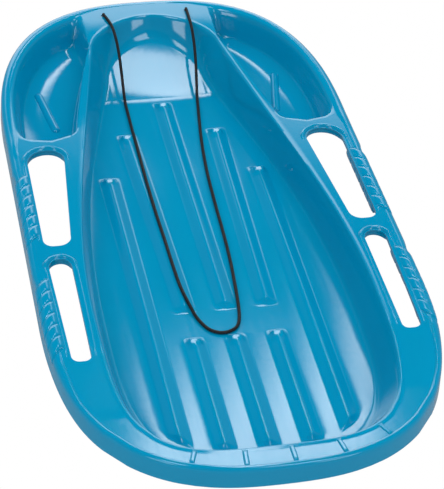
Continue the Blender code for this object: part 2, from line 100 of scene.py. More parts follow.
# %% Sizes
LENGTH = 0.890
WIDTH = 0.456
WALL = 0.003
TUB_DEPTH = 0.050
NOSE_RISE = 0.010
REAR_DROP = 0.008
BOWL_RISE = 0.030
SKIRT_DROP = 0.026
SKIRT_FLARE = 0.008
RIM_TAPER = 0.005
RIM_REAR_SQUARENESS = 2.60
RIM_FRONT_SQUARENESS = 2.51
RIM_BAR = 0.007
GRIP_BAR = 0.013
WIDEST_Y = -0.174
POCKET_REAR_Y = 0.167
FLANGE_FALL_LENGTH = 0.120
FLANGE_SIDE = 0.0525
FLANGE_REAR = 0.0245
FLANGE_AT_POCKET = 0.0932
LIP_SQUARENESS = 3.7
LIP_SIDE_SLOPE = -0.20
NOSE_HALF_WIDTH = 0.0876
NOSE_CORNER_Y = 0.335
NOSE_DECK = 0.0306
NOSE_SQUARENESS = 1.75
WALL_RUN_SIDE = 0.021
WALL_RUN_REAR = 0.0225
WALL_RUN_AT_POCKET = 0.0140
WALL_RUN_NOSE_SIDE = 0.0240
WALL_RUN_NOSE = 0.0244
FLOOR_CORNER_BACK = 0.010
FLOOR_SQUARENESS = 3.15
FLOOR_SIDE_SLOPE = -0.27
LIFT_START_Y = 0.130
LIFT_RISE = 0.0024
BOWL_START_Y = 0.2855
BOWL_END_Y = 0.382
BOWL_SLOPE = 0.075
BOWL_BEND = 0.0035
RIB_FOOT = 0.0126
RIB_TOP = 0.0015
RIB_HEIGHT = 0.0055
RIB_END_RUN = 0.008
OUTER_RIB_X = 0.0968
INNER_RIB_FRONT_X = 0.0594
INNER_RIB_REAR_X = 0.0495
CENTRE_RIB_FRONT_Y = 0.278
INNER_RIB_FRONT_Y = 0.2145
OUTER_RIB_FRONT_Y = 0.127
LONG_RIB_REAR_Y = -0.140
SHORT_RIB_FRONT_Y = -0.185
RIB_TO_REAR_WALL = 0.016
RIDGE = 0.0095
POCKET_DEPTH = 0.036
POCKET_INNER_RUN = 0.009
POCKET_OUTER_RUN = 0.0165
POCKET_TURN = 1.2
REAR_CORNER_X = 0.124
ROPE_HOLE_X = 0.0574
ROPE_HOLE_Y = 0.4120

RIM_HALF = WIDTH / 2 - SKIRT_FLARE
RIM_FRONT_HALF = RIM_HALF - RIM_TAPER
RIM_END = LENGTH / 2 - SKIRT_FLARE
RIM_REAR_REACH = RIM_END + WIDEST_Y
RIM_FRONT_REACH = RIM_END - POCKET_REAR_Y
LIP_HALF = RIM_HALF - FLANGE_SIDE
LIP_AT_POCKET = RIM_FRONT_HALF - FLANGE_AT_POCKET
LIP_REAR_REACH = RIM_REAR_REACH - FLANGE_REAR
LIP_NOSE_REACH = RIM_END - NOSE_DECK - NOSE_CORNER_Y
FLOOR_HALF = LIP_HALF - WALL_RUN_SIDE
FLOOR_AT_POCKET = LIP_AT_POCKET - WALL_RUN_AT_POCKET
FLOOR_REAR_REACH = LIP_REAR_REACH - WALL_RUN_REAR
FLOOR_NOSE_HALF = NOSE_HALF_WIDTH - WALL_RUN_NOSE_SIDE
FLOOR_CORNER_Y = NOSE_CORNER_Y - FLOOR_CORNER_BACK
FLOOR_NOSE_REACH = RIM_END - NOSE_DECK - WALL_RUN_NOSE - FLOOR_CORNER_Y
FLOOR_Z = WALL
LIP_Z = FLOOR_Z + TUB_DEPTH
DECK_CROWN = 0.0018
DECK_CROWN_Y = 0.370


def ease(t):
    """Smooth step from 0 to 1."""
    t = min(1.0, max(0.0, t))
    return t * t * (3 - 2 * t)


def within(value, start, end, run):
    """1 between start and end and 0 outside them, with a soft step inside each."""
    return ease((value - start) / run) * ease((end - value) / run)


def flange_z(y):
    """Height of the flange: it climbs to the nose and falls to the rear."""
    climb = ease((y - POCKET_REAR_Y) / RIM_FRONT_REACH)
    fall = ease((WIDEST_Y - FLANGE_FALL_LENGTH / 2 - y) / FLANGE_FALL_LENGTH)
    crown = (max(0.0, y - DECK_CROWN_Y) / (LENGTH / 2 - DECK_CROWN_Y)) ** 2
    return LIP_Z + NOSE_RISE * climb - REAR_DROP * fall - DECK_CROWN * crown


def bowl_z(y):
    """Height of the bare floor: a faint lift, then a soft bend, then ever steeper to the nose."""
    early = min(max(0.0, y - LIFT_START_Y), BOWL_START_Y - LIFT_START_Y)
    inside = max(0.0, y - BOWL_START_Y)
    reach = BOWL_END_Y - BOWL_START_Y
    slope = 2 * LIFT_RISE / (BOWL_START_Y - LIFT_START_Y)
    lift = LIFT_RISE * (early / (BOWL_START_Y - LIFT_START_Y)) ** 2 + slope * inside
    if inside < 2 * BOWL_BEND:
        lift += BOWL_SLOPE * inside * inside / (4 * BOWL_BEND)
    else:
        lift += BOWL_SLOPE * (inside - BOWL_BEND)
    left_over = BOWL_RISE - LIFT_RISE - slope * reach - BOWL_SLOPE * (reach - BOWL_BEND)
    return FLOOR_Z + lift + left_over * (inside / reach) ** 2


print("sled", LENGTH, "by", WIDTH, "m")

# %% Helpers that finish a piece


def above(place, height):
    """Point over a place in plan."""
    return Vector((place.x, place.y, height))


def only(kind, items):
    """The items of one kind, from what a bmesh operator gives back."""
    return [item for item in items if isinstance(item, kind)]


def extrude_ring(bm, edges):
    """Extrude a ring of edges; gives the new vertices and the new ring of edges."""
    grown = bmesh.ops.extrude_edge_only(bm, edges=edges)["geom"]
    fresh = only(BMVert, grown)
    ends = set(fresh)
    return fresh, [edge for edge in only(BMEdge, grown) if ends.issuperset(edge.verts)]


def face_up(bm):
    """Turn the faces of an open surface upwards."""
    bmesh.ops.recalc_face_normals(bm, faces=bm.faces)
    if sum(face.normal.z for face in bm.faces) < 0:
        bmesh.ops.reverse_faces(bm, faces=bm.faces)


def mirror_copy(bm):
    """Add the left-hand copy, turned the right way round."""
    made = bmesh.ops.duplicate(bm, geom=bm.verts[:] + bm.edges[:] + bm.faces[:])["geom"]
    for vert in only(BMVert, made):
        vert.co.x = -vert.co.x
    bmesh.ops.reverse_faces(bm, faces=only(BMFace, made))


def new_piece(name, bm):
    """Turn a bmesh into an object in the scene."""
    mesh = bpy.data.meshes.new(name)
    bm.to_mesh(mesh)
    bm.free()
    obj = bpy.data.objects.new(name, mesh)
    scene.collection.objects.link(obj)
    return obj


def bake_modifiers(obj):
    """Keep what the modifiers made as plain mesh."""
    depsgraph = bpy.context.evaluated_depsgraph_get()
    made = bpy.data.meshes.new_from_object(obj.evaluated_get(depsgraph))
    obj.modifiers.clear()
    obj.data = made


def soften(obj, angle=60):
    """Smooth shading, with edges sharper than the angle kept crisp."""
    obj.data.shade_smooth()
    obj.data.set_sharp_from_angle(angle=math.radians(angle))


def triangles(obj):
    """Number of triangles of a plain mesh."""
    obj.data.calc_loop_triangles()
    return len(obj.data.loop_triangles)


# %% [markdown]
# ## The shell
# The real sled is one sheet of plastic drawn into a mould, so one piece stands for it here
# too. The floor starts as a bmesh grid that is moved onto the floor's plan, with its columns
# set close together where a rib's edges run. The floor's border is then extruded outwards,
# ring by ring: up the wall, over the lip, across the flange or down and up through a foot
# pocket, over the crest and down the skirt. Only the right half is made, a Mirror modifier
# gives the left half, and Solidify gives the wall its thickness.

# %% Outlines and rays


def rear_arc(half, reach, squareness, angle):
    """Point of a rear superellipse; angle 0 is the rear end, a quarter turn the side."""
    x = half * math.sin(angle) ** (2 / squareness)
    y = WIDEST_Y - reach * max(0.0, math.cos(angle)) ** (2 / squareness)
    return Vector((x, y))


def rear_angle(half, squareness, x):
    """Angle at which a rear superellipse has the half width x."""
    return math.asin(min(1.0, x / half) ** (squareness / 2))


def hermite(y, start, end):
    """Half width between two knots, each (y, half width, slope)."""
    span = end[0] - start[0]
    t = (y - start[0]) / span
    return ((2 * t ** 3 - 3 * t ** 2 + 1) * start[1]
            + (t ** 3 - 2 * t ** 2 + t) * span * start[2]
            + (3 * t ** 2 - 2 * t ** 3) * end[1]
            + (t ** 3 - t ** 2) * span * end[2])


def rear_station(angle):
    """Floor edge, lip and rim crest on one ray of the rounded rear."""
    return (rear_arc(FLOOR_HALF, FLOOR_REAR_REACH, FLOOR_SQUARENESS, angle),
            rear_arc(LIP_HALF, LIP_REAR_REACH, LIP_SQUARENESS, angle),
            rear_arc(RIM_HALF, RIM_REAR_REACH, RIM_REAR_SQUARENESS, angle))


def lip_side_x(y):
    """Half width of the tub's lip ahead of the widest station."""
    pocket = (POCKET_REAR_Y, LIP_AT_POCKET, LIP_SIDE_SLOPE)
    if y < POCKET_REAR_Y:
        return hermite(y, (WIDEST_Y, LIP_HALF, 0), pocket)
    return hermite(y, pocket, (NOSE_CORNER_Y, NOSE_HALF_WIDTH, LIP_SIDE_SLOPE))


def floor_side_x(y):
    """Half width of the tub's floor ahead of the widest station."""
    pocket = (POCKET_REAR_Y, FLOOR_AT_POCKET, FLOOR_SIDE_SLOPE)
    if y < POCKET_REAR_Y:
        return hermite(y, (WIDEST_Y, FLOOR_HALF, 0), pocket)
    return hermite(y, pocket, (FLOOR_CORNER_Y, FLOOR_NOSE_HALF, FLOOR_SIDE_SLOPE))


def rim_front(angle):
    """Rim crest round the nose; angle 0 is the side, a quarter turn the tip."""
    power = 2 / RIM_FRONT_SQUARENESS
    return Vector((RIM_FRONT_HALF * max(0.0, math.cos(angle)) ** power,
                   POCKET_REAR_Y + RIM_FRONT_REACH * math.sin(angle) ** power))


def rim_front_angle(x):
    """Angle at which the rim round the nose has the half width x."""
    return math.acos((x / RIM_FRONT_HALF) ** (RIM_FRONT_SQUARENESS / 2))


def pocket_station(share):
    """Ray through a foot pocket: share 0 at its rear edge, 1 beside the nose deck."""
    floor_y = POCKET_REAR_Y + share * (FLOOR_CORNER_Y - POCKET_REAR_Y)
    lip_y = POCKET_REAR_Y + share * (NOSE_CORNER_Y - POCKET_REAR_Y)
    return (Vector((floor_side_x(floor_y), floor_y)),
            Vector((lip_side_x(lip_y), lip_y)),
            rim_front(share ** POCKET_TURN * rim_front_angle(NOSE_HALF_WIDTH)))


def nose_rise(share):
    """Share of the nose arc's reach at a share of its half width."""
    return (1 - min(1.0, share) ** NOSE_SQUARENESS) ** (1 / NOSE_SQUARENESS)


def nose_station(share):
    """Ray across the nose deck: share is the distance from the centre line."""
    rise = nose_rise(share)
    return (Vector((FLOOR_NOSE_HALF * share, FLOOR_CORNER_Y + FLOOR_NOSE_REACH * rise)),
            Vector((NOSE_HALF_WIDTH * share, NOSE_CORNER_Y + LIP_NOSE_REACH * rise)),
            rim_front(rim_front_angle(NOSE_HALF_WIDTH * share)))


def rear_edge_y(x):
    """Where the floor ends at the rear, at the half width x."""
    return rear_arc(FLOOR_HALF, FLOOR_REAR_REACH, FLOOR_SQUARENESS,
                    rear_angle(FLOOR_HALF, FLOOR_SQUARENESS, x)).y


def front_edge_y(x):
    """Where the floor ends at the nose, at the half width x."""
    return FLOOR_CORNER_Y + FLOOR_NOSE_REACH * nose_rise(x / FLOOR_NOSE_HALF)


def side_ray(y):
    """Floor edge, lip and rim crest on the ray that leaves the floor's side at the station y."""
    if y < WIDEST_Y:
        share = ((WIDEST_Y - y) / FLOOR_REAR_REACH) ** (FLOOR_SQUARENESS / 2)
        return rear_station(math.acos(share))
    if y <= POCKET_REAR_Y:
        along = (y - WIDEST_Y) / (POCKET_REAR_Y - WIDEST_Y)
        return (Vector((floor_side_x(y), y)), Vector((lip_side_x(y), y)),
                Vector((RIM_HALF - RIM_TAPER * along, y)))
    return pocket_station((y - POCKET_REAR_Y) / (FLOOR_CORNER_Y - POCKET_REAR_Y))


print("floor from", round(rear_edge_y(0), 4), "to", round(front_edge_y(0), 4), "m")

# %% Ribs on the floor
RIB_ROUND = 0.0016
RIB_END_ROUND = 0.0009
BLOCK_BACK = 0.0180
BLOCK_SLOPE = 0.235
BLOCK_TILT = 0.28
BLOCK_BASE = 0.0046
BLOCK_HALF = 0.0078
BLOCK_EDGE = 0.0025


def inner_rib_x(y):
    """Centre line of the inner ribs, which spread a little towards the nose."""
    along = (y - LONG_RIB_REAR_Y) / (INNER_RIB_FRONT_Y - LONG_RIB_REAR_Y)
    along = min(1.0, max(0.0, along))
    return INNER_RIB_REAR_X + along * (INNER_RIB_FRONT_X - INNER_RIB_REAR_X)


def soft_step(t, width):
    """0 to 1 as t goes from 0 to 1, with both corners rounded over the width."""
    def soft_max(a):
        if a <= -width:
            return 0.0
        if a >= width:
            return a
        return (a + width) ** 2 / (4 * width)
    return soft_max(t) - soft_max(t - 1)


def rib_height(x, y):
    """Height of the raised ribs above the floor.

    Near its front end each rib carries a small block, so that it catches a lamp that the level
    floor misses. The block's top slopes up to the front by 13 degrees, and off the middle line
    it leans sideways by a degree or two.
    """
    def rib(centre, rear, front):
        flank = RIB_FOOT - RIB_TOP
        side = soft_step((RIB_FOOT - abs(x - centre)) / flank, RIB_ROUND / flank)
        near = soft_step((y - rear) / RIB_END_RUN, RIB_END_ROUND / RIB_END_RUN)
        far = soft_step((front - y) / RIB_END_RUN, RIB_END_ROUND / RIB_END_RUN)
        behind = y - front + BLOCK_BACK
        block = BLOCK_BASE + behind * BLOCK_SLOPE + (x - centre) * centre * BLOCK_TILT
        block *= ease((BLOCK_HALF - abs(x - centre)) / BLOCK_EDGE) * ease(behind / BLOCK_EDGE)
        return max(RIB_HEIGHT * side * near, block) * far

    rear = rear_edge_y(x) + RIB_TO_REAR_WALL
    inner = inner_rib_x(y)
    return max(rib(OUTER_RIB_X, rear, OUTER_RIB_FRONT_Y),
               rib(inner, LONG_RIB_REAR_Y, INNER_RIB_FRONT_Y),
               rib(0, LONG_RIB_REAR_Y, CENTRE_RIB_FRONT_Y),
               rib(inner, rear, SHORT_RIB_FRONT_Y),
               rib(0, rear, SHORT_RIB_FRONT_Y))


print("height of the centre rib", round(rib_height(0, 0), 4), "m")

# %% Where the floor's columns and rows run
RIB_OFFSETS = (0.0145, 0.0132, 0.0121, 0.0109, 0.0085, 0.0055, 0.0034, 0.0021, 0.0010)
COLUMN_STEP = 0.0012
ROW_STEP = 0.0075
LEAST_ROW_GAP = 0.0009
REAR_WALL_ROWS = (0, 0.005, 0.010)
END_ROWS = (-0.0018, -0.0008, 0.0002, 0.0012, 0.0035, 0.0060, 0.0071, 0.0081, 0.0091,
            0.0110, 0.0130, 0.0150, 0.0170)
POCKET_ROWS = (-0.003, 0, 0.0015, 0.003, 0.005, 0.007, 0.009, 0.012)
NOSE_CORNER_ROWS = (0.012, 0.009, 0.006, 0.0035, 0.0015, 0)
REAR_ROWS_CURVED = RIB_TO_REAR_WALL + RIB_END_RUN
REAR_ROWS_STRAIGHT = 0.100


def floor_columns(y, half):
    """Half widths of the floor's columns: close together across each rib's flanks."""
    inner = inner_rib_x(y)
    edges = [0.0] + sorted(RIB_OFFSETS)
    beside = len(RIB_OFFSETS)
    for centre in (inner, OUTER_RIB_X):
        edges += [centre - offset for offset in RIB_OFFSETS] + [centre]
        edges += [centre + offset for offset in reversed(RIB_OFFSETS)]
    gaps = [(edges[beside] + edges[beside + 1]) / 2, (inner + OUTER_RIB_X) / 2]
    edges = sorted(edges + gaps)
    count = len(edges)
    return [min(edge, half - COLUMN_STEP * (count - k)) for k, edge in enumerate(edges)] + [half]


def floor_rows():
    """Stations of the floor's rows on its side edge, from rear to nose."""
    corner = rear_edge_y(REAR_CORNER_X)
    exact = [corner + step for step in REAR_WALL_ROWS]
    exact += [corner + RIB_TO_REAR_WALL + step for step in END_ROWS]
    for front in (SHORT_RIB_FRONT_Y, OUTER_RIB_FRONT_Y, INNER_RIB_FRONT_Y, CENTRE_RIB_FRONT_Y):
        exact += [front - step for step in END_ROWS]
    exact += [LONG_RIB_REAR_Y + step for step in END_ROWS]
    exact += [POCKET_REAR_Y + step for step in POCKET_ROWS]
    exact += [FLOOR_CORNER_Y - step for step in NOSE_CORNER_ROWS]
    exact = sorted(exact)
    rows = [exact[0]]
    for station in exact[1:]:
        start = rows[-1]
        gap = station - start
        if gap >= LEAST_ROW_GAP:
            count = max(1, round(gap / ROW_STEP))
            rows += [start + gap * (k + 1) / count for k in range(count)]
    return rows


def floor_point(station, x):
    """Point of the floor on the row that meets the side edge at this station."""
    corner = rear_edge_y(REAR_CORNER_X)
    straight = (station - corner - REAR_ROWS_CURVED) / (REAR_ROWS_STRAIGHT - REAR_ROWS_CURVED)
    rear = (1 - ease(straight)) * (rear_edge_y(min(x, REAR_CORNER_X)) - corner)
    curved = ease((station - CENTRE_RIB_FRONT_Y) / (FLOOR_CORNER_Y - CENTRE_RIB_FRONT_Y))
    nose = curved * (front_edge_y(min(x, FLOOR_NOSE_HALF)) - FLOOR_CORNER_Y)
    y = station + rear + nose
    return Vector((x, y, bowl_z(y) + rib_height(x, y)))


stations = floor_rows()
print("floor rows", len(stations), "columns", len(floor_columns(0, FLOOR_HALF)))

# %% [markdown]
# ### The section along a ray
# Each ray carries the same number of rings, so that the extruded rings join up. Where the ray
# crosses a foot pocket, the rings of the flange crowd together on the pocket's two walls, and
# that crowding starts a little before the pocket, so that the surface stays smooth.

# %% Section of the shell
WALL_SHARES = (0.05, 0.1, 0.16, 0.22, 0.29, 0.36, 0.43, 0.51, 0.6, 0.69, 0.77, 0.84, 0.89,
               0.93, 0.965, 1.0)
WALL_FOOT_SHARE = 0.40
WALL_FOOT_SHARE_NOSE = 0.80
WALL_BROW_SHARE = 0.16
LIP_BEAD = 0.0005
LIP_BEAD_RUN = 0.004
CREST_BEAD = 0.0010
CREST_BEAD_AT_HOLES = 0.0001
CREST_TURN = 1.7
CREST_ROUND = 0.8
CREST_BAR = 0.0035
SHOULDER_IN = 0.0005
SHOULDER_OUT = 0.0074
SHOULDER_AT_GRIP = 0.0058
SHOULDER_DROP = 0.0060
CREST_OUT_REAR = 0.0036
CREST_OUT_Y = (-0.3200, -0.2700)
GRIP_REACHES = ((-0.2450, -0.1090), (-0.0440, 0.0900))
GRIP_BLEND = 0.010
HOLES_REACH = (-0.2650, 0.1500)
HOLES_BLEND = 0.03
PLAIN_SHARES = (0.03, 0.06, 0.10, 0.15, 0.21, 0.27, 0.33, 0.39, 0.45, 0.51, 0.57, 0.63, 0.69,
                0.75, 0.81, 0.86, 0.90, 0.94, 0.97, 0.985, 1.0)
RIDGE_SHARES = (0.25, 0.5, 0.75)
POCKET_INNER_SHARES = (0.0, 0.12, 0.25, 0.4, 0.6, 0.8, 0.92, 1.0)
POCKET_OUTER_SHARES = (0.0, 0.08, 0.2, 0.35, 0.5, 0.65, 0.8, 0.92, 1.0)
BAR_SHARES = (0.15, 0.3, 0.5, 0.7, 0.85)
SHOULDER_TURNS = (0, 18, 36, 54, 72, 90)
HEM_SHARES = (0.33, 0.66, 1.0)
POCKET_SAG = 0.016
POCKET_SAG_ROUND = 0.8
POCKET_SAG_AHEAD = 0.060
POCKET_SAG_BEHIND = 0.055


def wall_rise(share, foot_y):
    """Share of the wall's height reached at a share of its run, round at both ends."""
    at_nose = ease((foot_y - FLOOR_CORNER_Y) / FLOOR_NOSE_REACH)
    foot = WALL_FOOT_SHARE + (WALL_FOOT_SHARE_NOSE - WALL_FOOT_SHARE) * at_nose
    slope = 1 / (1 - foot / 2 - WALL_BROW_SHARE / 2)
    if share < foot:
        return slope * share * share / (2 * foot)
    if share > 1 - WALL_BROW_SHARE:
        return 1 - slope * (1 - share) ** 2 / (2 * WALL_BROW_SHARE)
    return slope * (share - foot / 2)


def crest_round(share):
    """Height of the crest's bead, of its full height, at a share of the bar's width."""
    return math.sin(math.pi * share / CREST_TURN) ** CREST_ROUND


def beside_grip(y):
    """1 along the hand grips and 0 away from them."""
    return max(ease((y - start) / GRIP_BLEND + 0.5) * ease((end - y) / GRIP_BLEND + 0.5)
               for start, end in GRIP_REACHES)


def sag(ray, share):
    """How far the flange's lines bow back near the pocket's curved rear edge."""
    y = ray[2].y
    if y > POCKET_REAR_Y:
        near = ease(1 - (y - POCKET_REAR_Y) / POCKET_SAG_AHEAD)
    else:
        near = ease(1 - (POCKET_REAR_Y - y) / POCKET_SAG_BEHIND)
    bow = math.sin(math.pi * min(1.0, max(0.0, share))) ** POCKET_SAG_ROUND
    return POCKET_SAG * near * bow


def section(ray, outward, depth, crowd):
    """Rings of the shell from the wall's foot out to the skirt's lower edge."""
    foot, lip, rim = ray
    height = flange_z(lip.y) + LIP_BEAD - bowl_z(lip.y)
    points = []
    for share in WALL_SHARES:
        place = foot.lerp(lip, share)
        points.append(above(place, bowl_z(place.y) + height * wall_rise(share, foot.y)))
    across = (rim - lip).normalized()
    crest_out = CREST_OUT_REAR * ease((CREST_OUT_Y[1] - rim.y) / (CREST_OUT_Y[1] - CREST_OUT_Y[0]))
    width = (rim - lip).length + crest_out
    bar = CREST_BAR + (RIM_BAR - CREST_BAR) * crowd
    at_holes = within(rim.y, *HOLES_REACH, HOLES_BLEND)
    bead_top = CREST_BEAD + (CREST_BEAD_AT_HOLES - CREST_BEAD) * at_holes
    shoulder = SHOULDER_OUT + (SHOULDER_AT_GRIP - SHOULDER_OUT) * beside_grip(rim.y)
    inner_end = RIDGE + POCKET_INNER_RUN
    outer_end = width - RIM_BAR
    outer_start = outer_end - POCKET_OUTER_RUN
    pocket = [RIDGE * share for share in RIDGE_SHARES]
    pocket += [RIDGE + POCKET_INNER_RUN * share for share in POCKET_INNER_SHARES]
    pocket += [inner_end + (outer_start - inner_end) * 0.5]
    pocket += [outer_start + POCKET_OUTER_RUN * share for share in POCKET_OUTER_SHARES]
    rings = []
    for share, crowded in zip(PLAIN_SHARES, pocket):
        plain = (width - bar) * share
        distance = plain + (crowded - plain) * crowd
        inner = ease((distance - RIDGE) / POCKET_INNER_RUN)
        outer = ease((outer_end - distance) / POCKET_OUTER_RUN)
        bead = LIP_BEAD * (1 - ease(distance / LIP_BEAD_RUN))
        rings.append((distance, bead - depth * inner * outer))
    for share in BAR_SHARES:
        rings.append((width - bar + (bar - SHOULDER_IN) * share, bead_top * crest_round(share)))
    for distance, rise in rings:
        place = lip + across * distance
        place.y -= sag(ray, (distance - RIDGE) / (outer_end - RIDGE))
        points.append(above(place, flange_z(place.y) + rise))
    rim_z = flange_z(rim.y)
    top = bead_top * crest_round(1)
    start = crest_out - SHOULDER_IN
    for turn in SHOULDER_TURNS:
        angle = math.radians(turn)
        place = rim + outward * (start + (shoulder - start) * math.sin(angle))
        drop = top - (SHOULDER_DROP + top) * (1 - math.cos(angle))
        points.append(above(place, rim_z + drop))
    for share in HEM_SHARES:
        place = rim + outward * (shoulder + (SKIRT_FLARE - shoulder) * share)
        drop = SHOULDER_DROP + (SKIRT_DROP - SHOULDER_DROP) * share
        points.append(above(place, rim_z - drop))
    return points


print("rings on the wall", len(WALL_SHARES), "and on the flange", len(PLAIN_SHARES))

# %% The rays round the floor
POCKET_END = 0.011
POCKET_CROWD = 0.030
NOSE_CROWD = 0.018

rear_columns = floor_columns(stations[0], REAR_CORNER_X)
nose_columns = floor_columns(stations[-1], FLOOR_NOSE_HALF)
rays = [rear_station(rear_angle(FLOOR_HALF, FLOOR_SQUARENESS, x)) for x in rear_columns]
rays += [side_ray(station) for station in stations[1:]]
rays += [nose_station(x / FLOOR_NOSE_HALF) for x in reversed(nose_columns[:-1])]
first_side = len(rear_columns)
last_side = first_side + len(stations) - 2


def pocket_share(i):
    """Depth of the pocket and crowding of the rings on ray i."""
    if i < first_side:
        return 0.0, 0.0
    if i > last_side:
        x = nose_columns[last_side - i - 1]
        return 0.0, ease(1 - (FLOOR_NOSE_HALF - x) / NOSE_CROWD)
    station = stations[i - first_side + 1]
    inside = min(station - POCKET_REAR_Y, FLOOR_CORNER_Y - station)
    return (POCKET_DEPTH * ease(inside / POCKET_END),
            ease((station - POCKET_REAR_Y + POCKET_CROWD) / POCKET_CROWD))


sections = []
for i, ray in enumerate(rays):
    if i == 0:
        outward = Vector((0, -1))
    elif i == len(rays) - 1:
        outward = Vector((0, 1))
    else:
        along = rays[i + 1][2] - rays[i - 1][2]
        outward = Vector((along.y, -along.x)).normalized()
    sections.append(section(ray, outward, *pocket_share(i)))
print("rays", len(rays), "rings", len(sections[0]))

# %% Grow the half shell
shell = bmesh.new()
columns = len(rear_columns)
rows = len(stations)
bmesh.ops.create_grid(shell, x_segments=columns - 1, y_segments=rows - 1, size=0.5)
ray_number = shell.verts.layers.int.new("ray")
for vert in shell.verts:
    i = round((vert.co.x + 0.5) * (columns - 1))
    j = round((vert.co.y + 0.5) * (rows - 1))
    half = side_ray(stations[j])[0].x if j else REAR_CORNER_X
    vert.co = floor_point(stations[j], floor_columns(stations[j], half)[i])
    vert[ray_number] = -1
    if j == 0:
        vert[ray_number] = i
    elif i == columns - 1:
        vert[ray_number] = columns - 1 + j
    elif j == rows - 1:
        vert[ray_number] = columns - 1 + rows - 1 + (columns - 1 - i)
edges = [edge for edge in shell.edges
         if edge.is_boundary and all(vert[ray_number] >= 0 for vert in edge.verts)
         and abs(edge.verts[0][ray_number] - edge.verts[1][ray_number]) == 1]
for ring in range(len(sections[0])):
    fresh, edges = extrude_ring(shell, edges)
    for vert in fresh:
        vert.co = sections[vert[ray_number]][ring]
face_up(shell)
hull = new_piece("sled_shell", shell)
print("half shell", triangles(hull), "triangles")

# %% Wall thickness and the left half
SHELL_WALL = 0.0024
SEAM_MERGE = 0.0001

mirror = hull.modifiers.new("Left half", 'MIRROR')
mirror.merge_threshold = SEAM_MERGE
wall = hull.modifiers.new("Wall", 'SOLIDIFY')
wall.thickness = SHELL_WALL
wall.offset = -1
wall.use_quality_normals = True
print("wall", SHELL_WALL, "m thick")

# %% [markdown]
# ### Hand holes and rope holes
# Each hand hole takes a gloved hand, and each rope hole in the nose deck takes one end of the
# rope. Holes could be left open in the grid, but its rows don't follow their round corners, so
# they are cut with prisms, whose plan is a four-cornered face with bevelled corners. On the
# real sled the plastic rolls down into each hand hole, so that it doesn't cut the hand. That
# rolled lip is a loop of edges extruded over a small round and down.

# %% Hole plans
FRONT_HOLE_Y = (-0.0550, 0.1330)
REAR_HOLE_Y = (-0.2570, -0.0795)
FRONT_HOLE_INNER_X = (0.1728, 0.1540)
REAR_HOLE_INNER_X = (0.1803, 0.1779)
FRONT_HOLE_CORNERS = (0.014, 0.012, 0.025, 0.023)
REAR_HOLE_CORNERS = (0.008, 0.009, 0.015, 0.015)
CORNER_SEGMENTS = 9


def rim_x(y):
    """Half width of the rim's crest beside the hand holes."""
    if y < WIDEST_Y:
        power = RIM_REAR_SQUARENESS
        return RIM_HALF * (1 - ((WIDEST_Y - y) / RIM_REAR_REACH) ** power) ** (1 / power)
    return RIM_HALF - RIM_TAPER * (y - WIDEST_Y) / (POCKET_REAR_Y - WIDEST_Y)


def hole_corners(inner, ends):
    """Four corners of a hand hole on the right side."""
    return [(inner[0], ends[0]), (rim_x(ends[0]) - GRIP_BAR, ends[0]),
            (rim_x(ends[1]) - GRIP_BAR, ends[1]), (inner[1], ends[1])]


def hole_face(bm, corners, radii):
    """Four-cornered face with rounded corners, as a bmesh face."""
    bm.faces.new([bm.verts.new((x, y, 0)) for x, y in corners])
    for (x, y), radius in zip(corners, radii):
        corner = min(bm.verts, key=lambda vert: (vert.co.xy - Vector((x, y))).length)
        bmesh.ops.bevel(bm, geom=[corner], offset=radius, segments=CORNER_SEGMENTS,
                        profile=0.5, affect='VERTICES', material=-1)
    return max(bm.faces, key=lambda f: f.calc_area())


HOLES = {"front": (hole_corners(FRONT_HOLE_INNER_X, FRONT_HOLE_Y), FRONT_HOLE_CORNERS),
         "rear": (hole_corners(REAR_HOLE_INNER_X, REAR_HOLE_Y), REAR_HOLE_CORNERS)}
for place, (corners, radii) in HOLES.items():
    print(place, "hole", [(round(x, 4), round(y, 4)) for x, y in corners])

# %% Cut the holes
CUTTER_HEIGHT = 0.100
ROPE_HOLE_DIAMETER = 0.006
ROPE_HOLE_SIDES = 24
SHELL_CREASE = 40

cutter = bmesh.new()
for corners, radii in HOLES.values():
    prism = bmesh.new()
    plan = hole_face(prism, corners, radii)
    raised = bmesh.ops.extrude_face_region(prism, geom=[plan])["geom"]
    bmesh.ops.translate(prism, verts=only(BMVert, raised), vec=(0, 0, CUTTER_HEIGHT))
    bmesh.ops.recalc_face_normals(prism, faces=prism.faces)
    part = bpy.data.meshes.new("hole_prism")
    prism.to_mesh(part)
    prism.free()
    cutter.from_mesh(part)
drill = bmesh.ops.create_cone(cutter, cap_ends=True, segments=ROPE_HOLE_SIDES,
                              depth=CUTTER_HEIGHT, radius1=ROPE_HOLE_DIAMETER / 2,
                              radius2=ROPE_HOLE_DIAMETER / 2)
bmesh.ops.translate(cutter, verts=drill["verts"], vec=(ROPE_HOLE_X, ROPE_HOLE_Y, LIP_Z))
mirror_copy(cutter)
hole_cutter = new_piece("hole_cutter", cutter)
cut = hull.modifiers.new("Holes", 'BOOLEAN')
cut.operation = 'DIFFERENCE'
cut.solver = 'EXACT'
cut.object = hole_cutter
bake_modifiers(hull)
bpy.data.objects.remove(hole_cutter)
soften(hull, SHELL_CREASE)
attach(hull, "hull")
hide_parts("sled_hull")
plastic_pieces = [hull]
print("sled shell", triangles(hull), "triangles")

# %% Rolled lips of the hand holes
MM = 0.001
LIP_PROFILE = ((8.6, -0.7, 0, -0.7), (7.8, 0.3, 0, -0.7), (6.9, 1.6, 0, -0.75),
               (5.9, 2.7, 0, -0.8), (4.8, 3.1, 0, -0.8), (3.6, 2.8, 0, -0.85),
               (2.6, 1.8, 0, -0.9), (1.7, 0.4, 0.02, -1.0), (1.0, -1.0, 0.1, -1.4),
               (0.4, -2.3, 0.25, -2.3), (0.1, -3.2, 0.5, -3.2), (0.1, -3.6, 0.75, -3.6),
               (0.1, -4.0, 1.0, -4.0))
LIP_END_DEPTH = 4.0
LIP_TURN = (-0.25, 0.45)
LIP_LONG_EDGE = 0.03
LIP_CUTS = 24
LIP_WALL = 0.0010


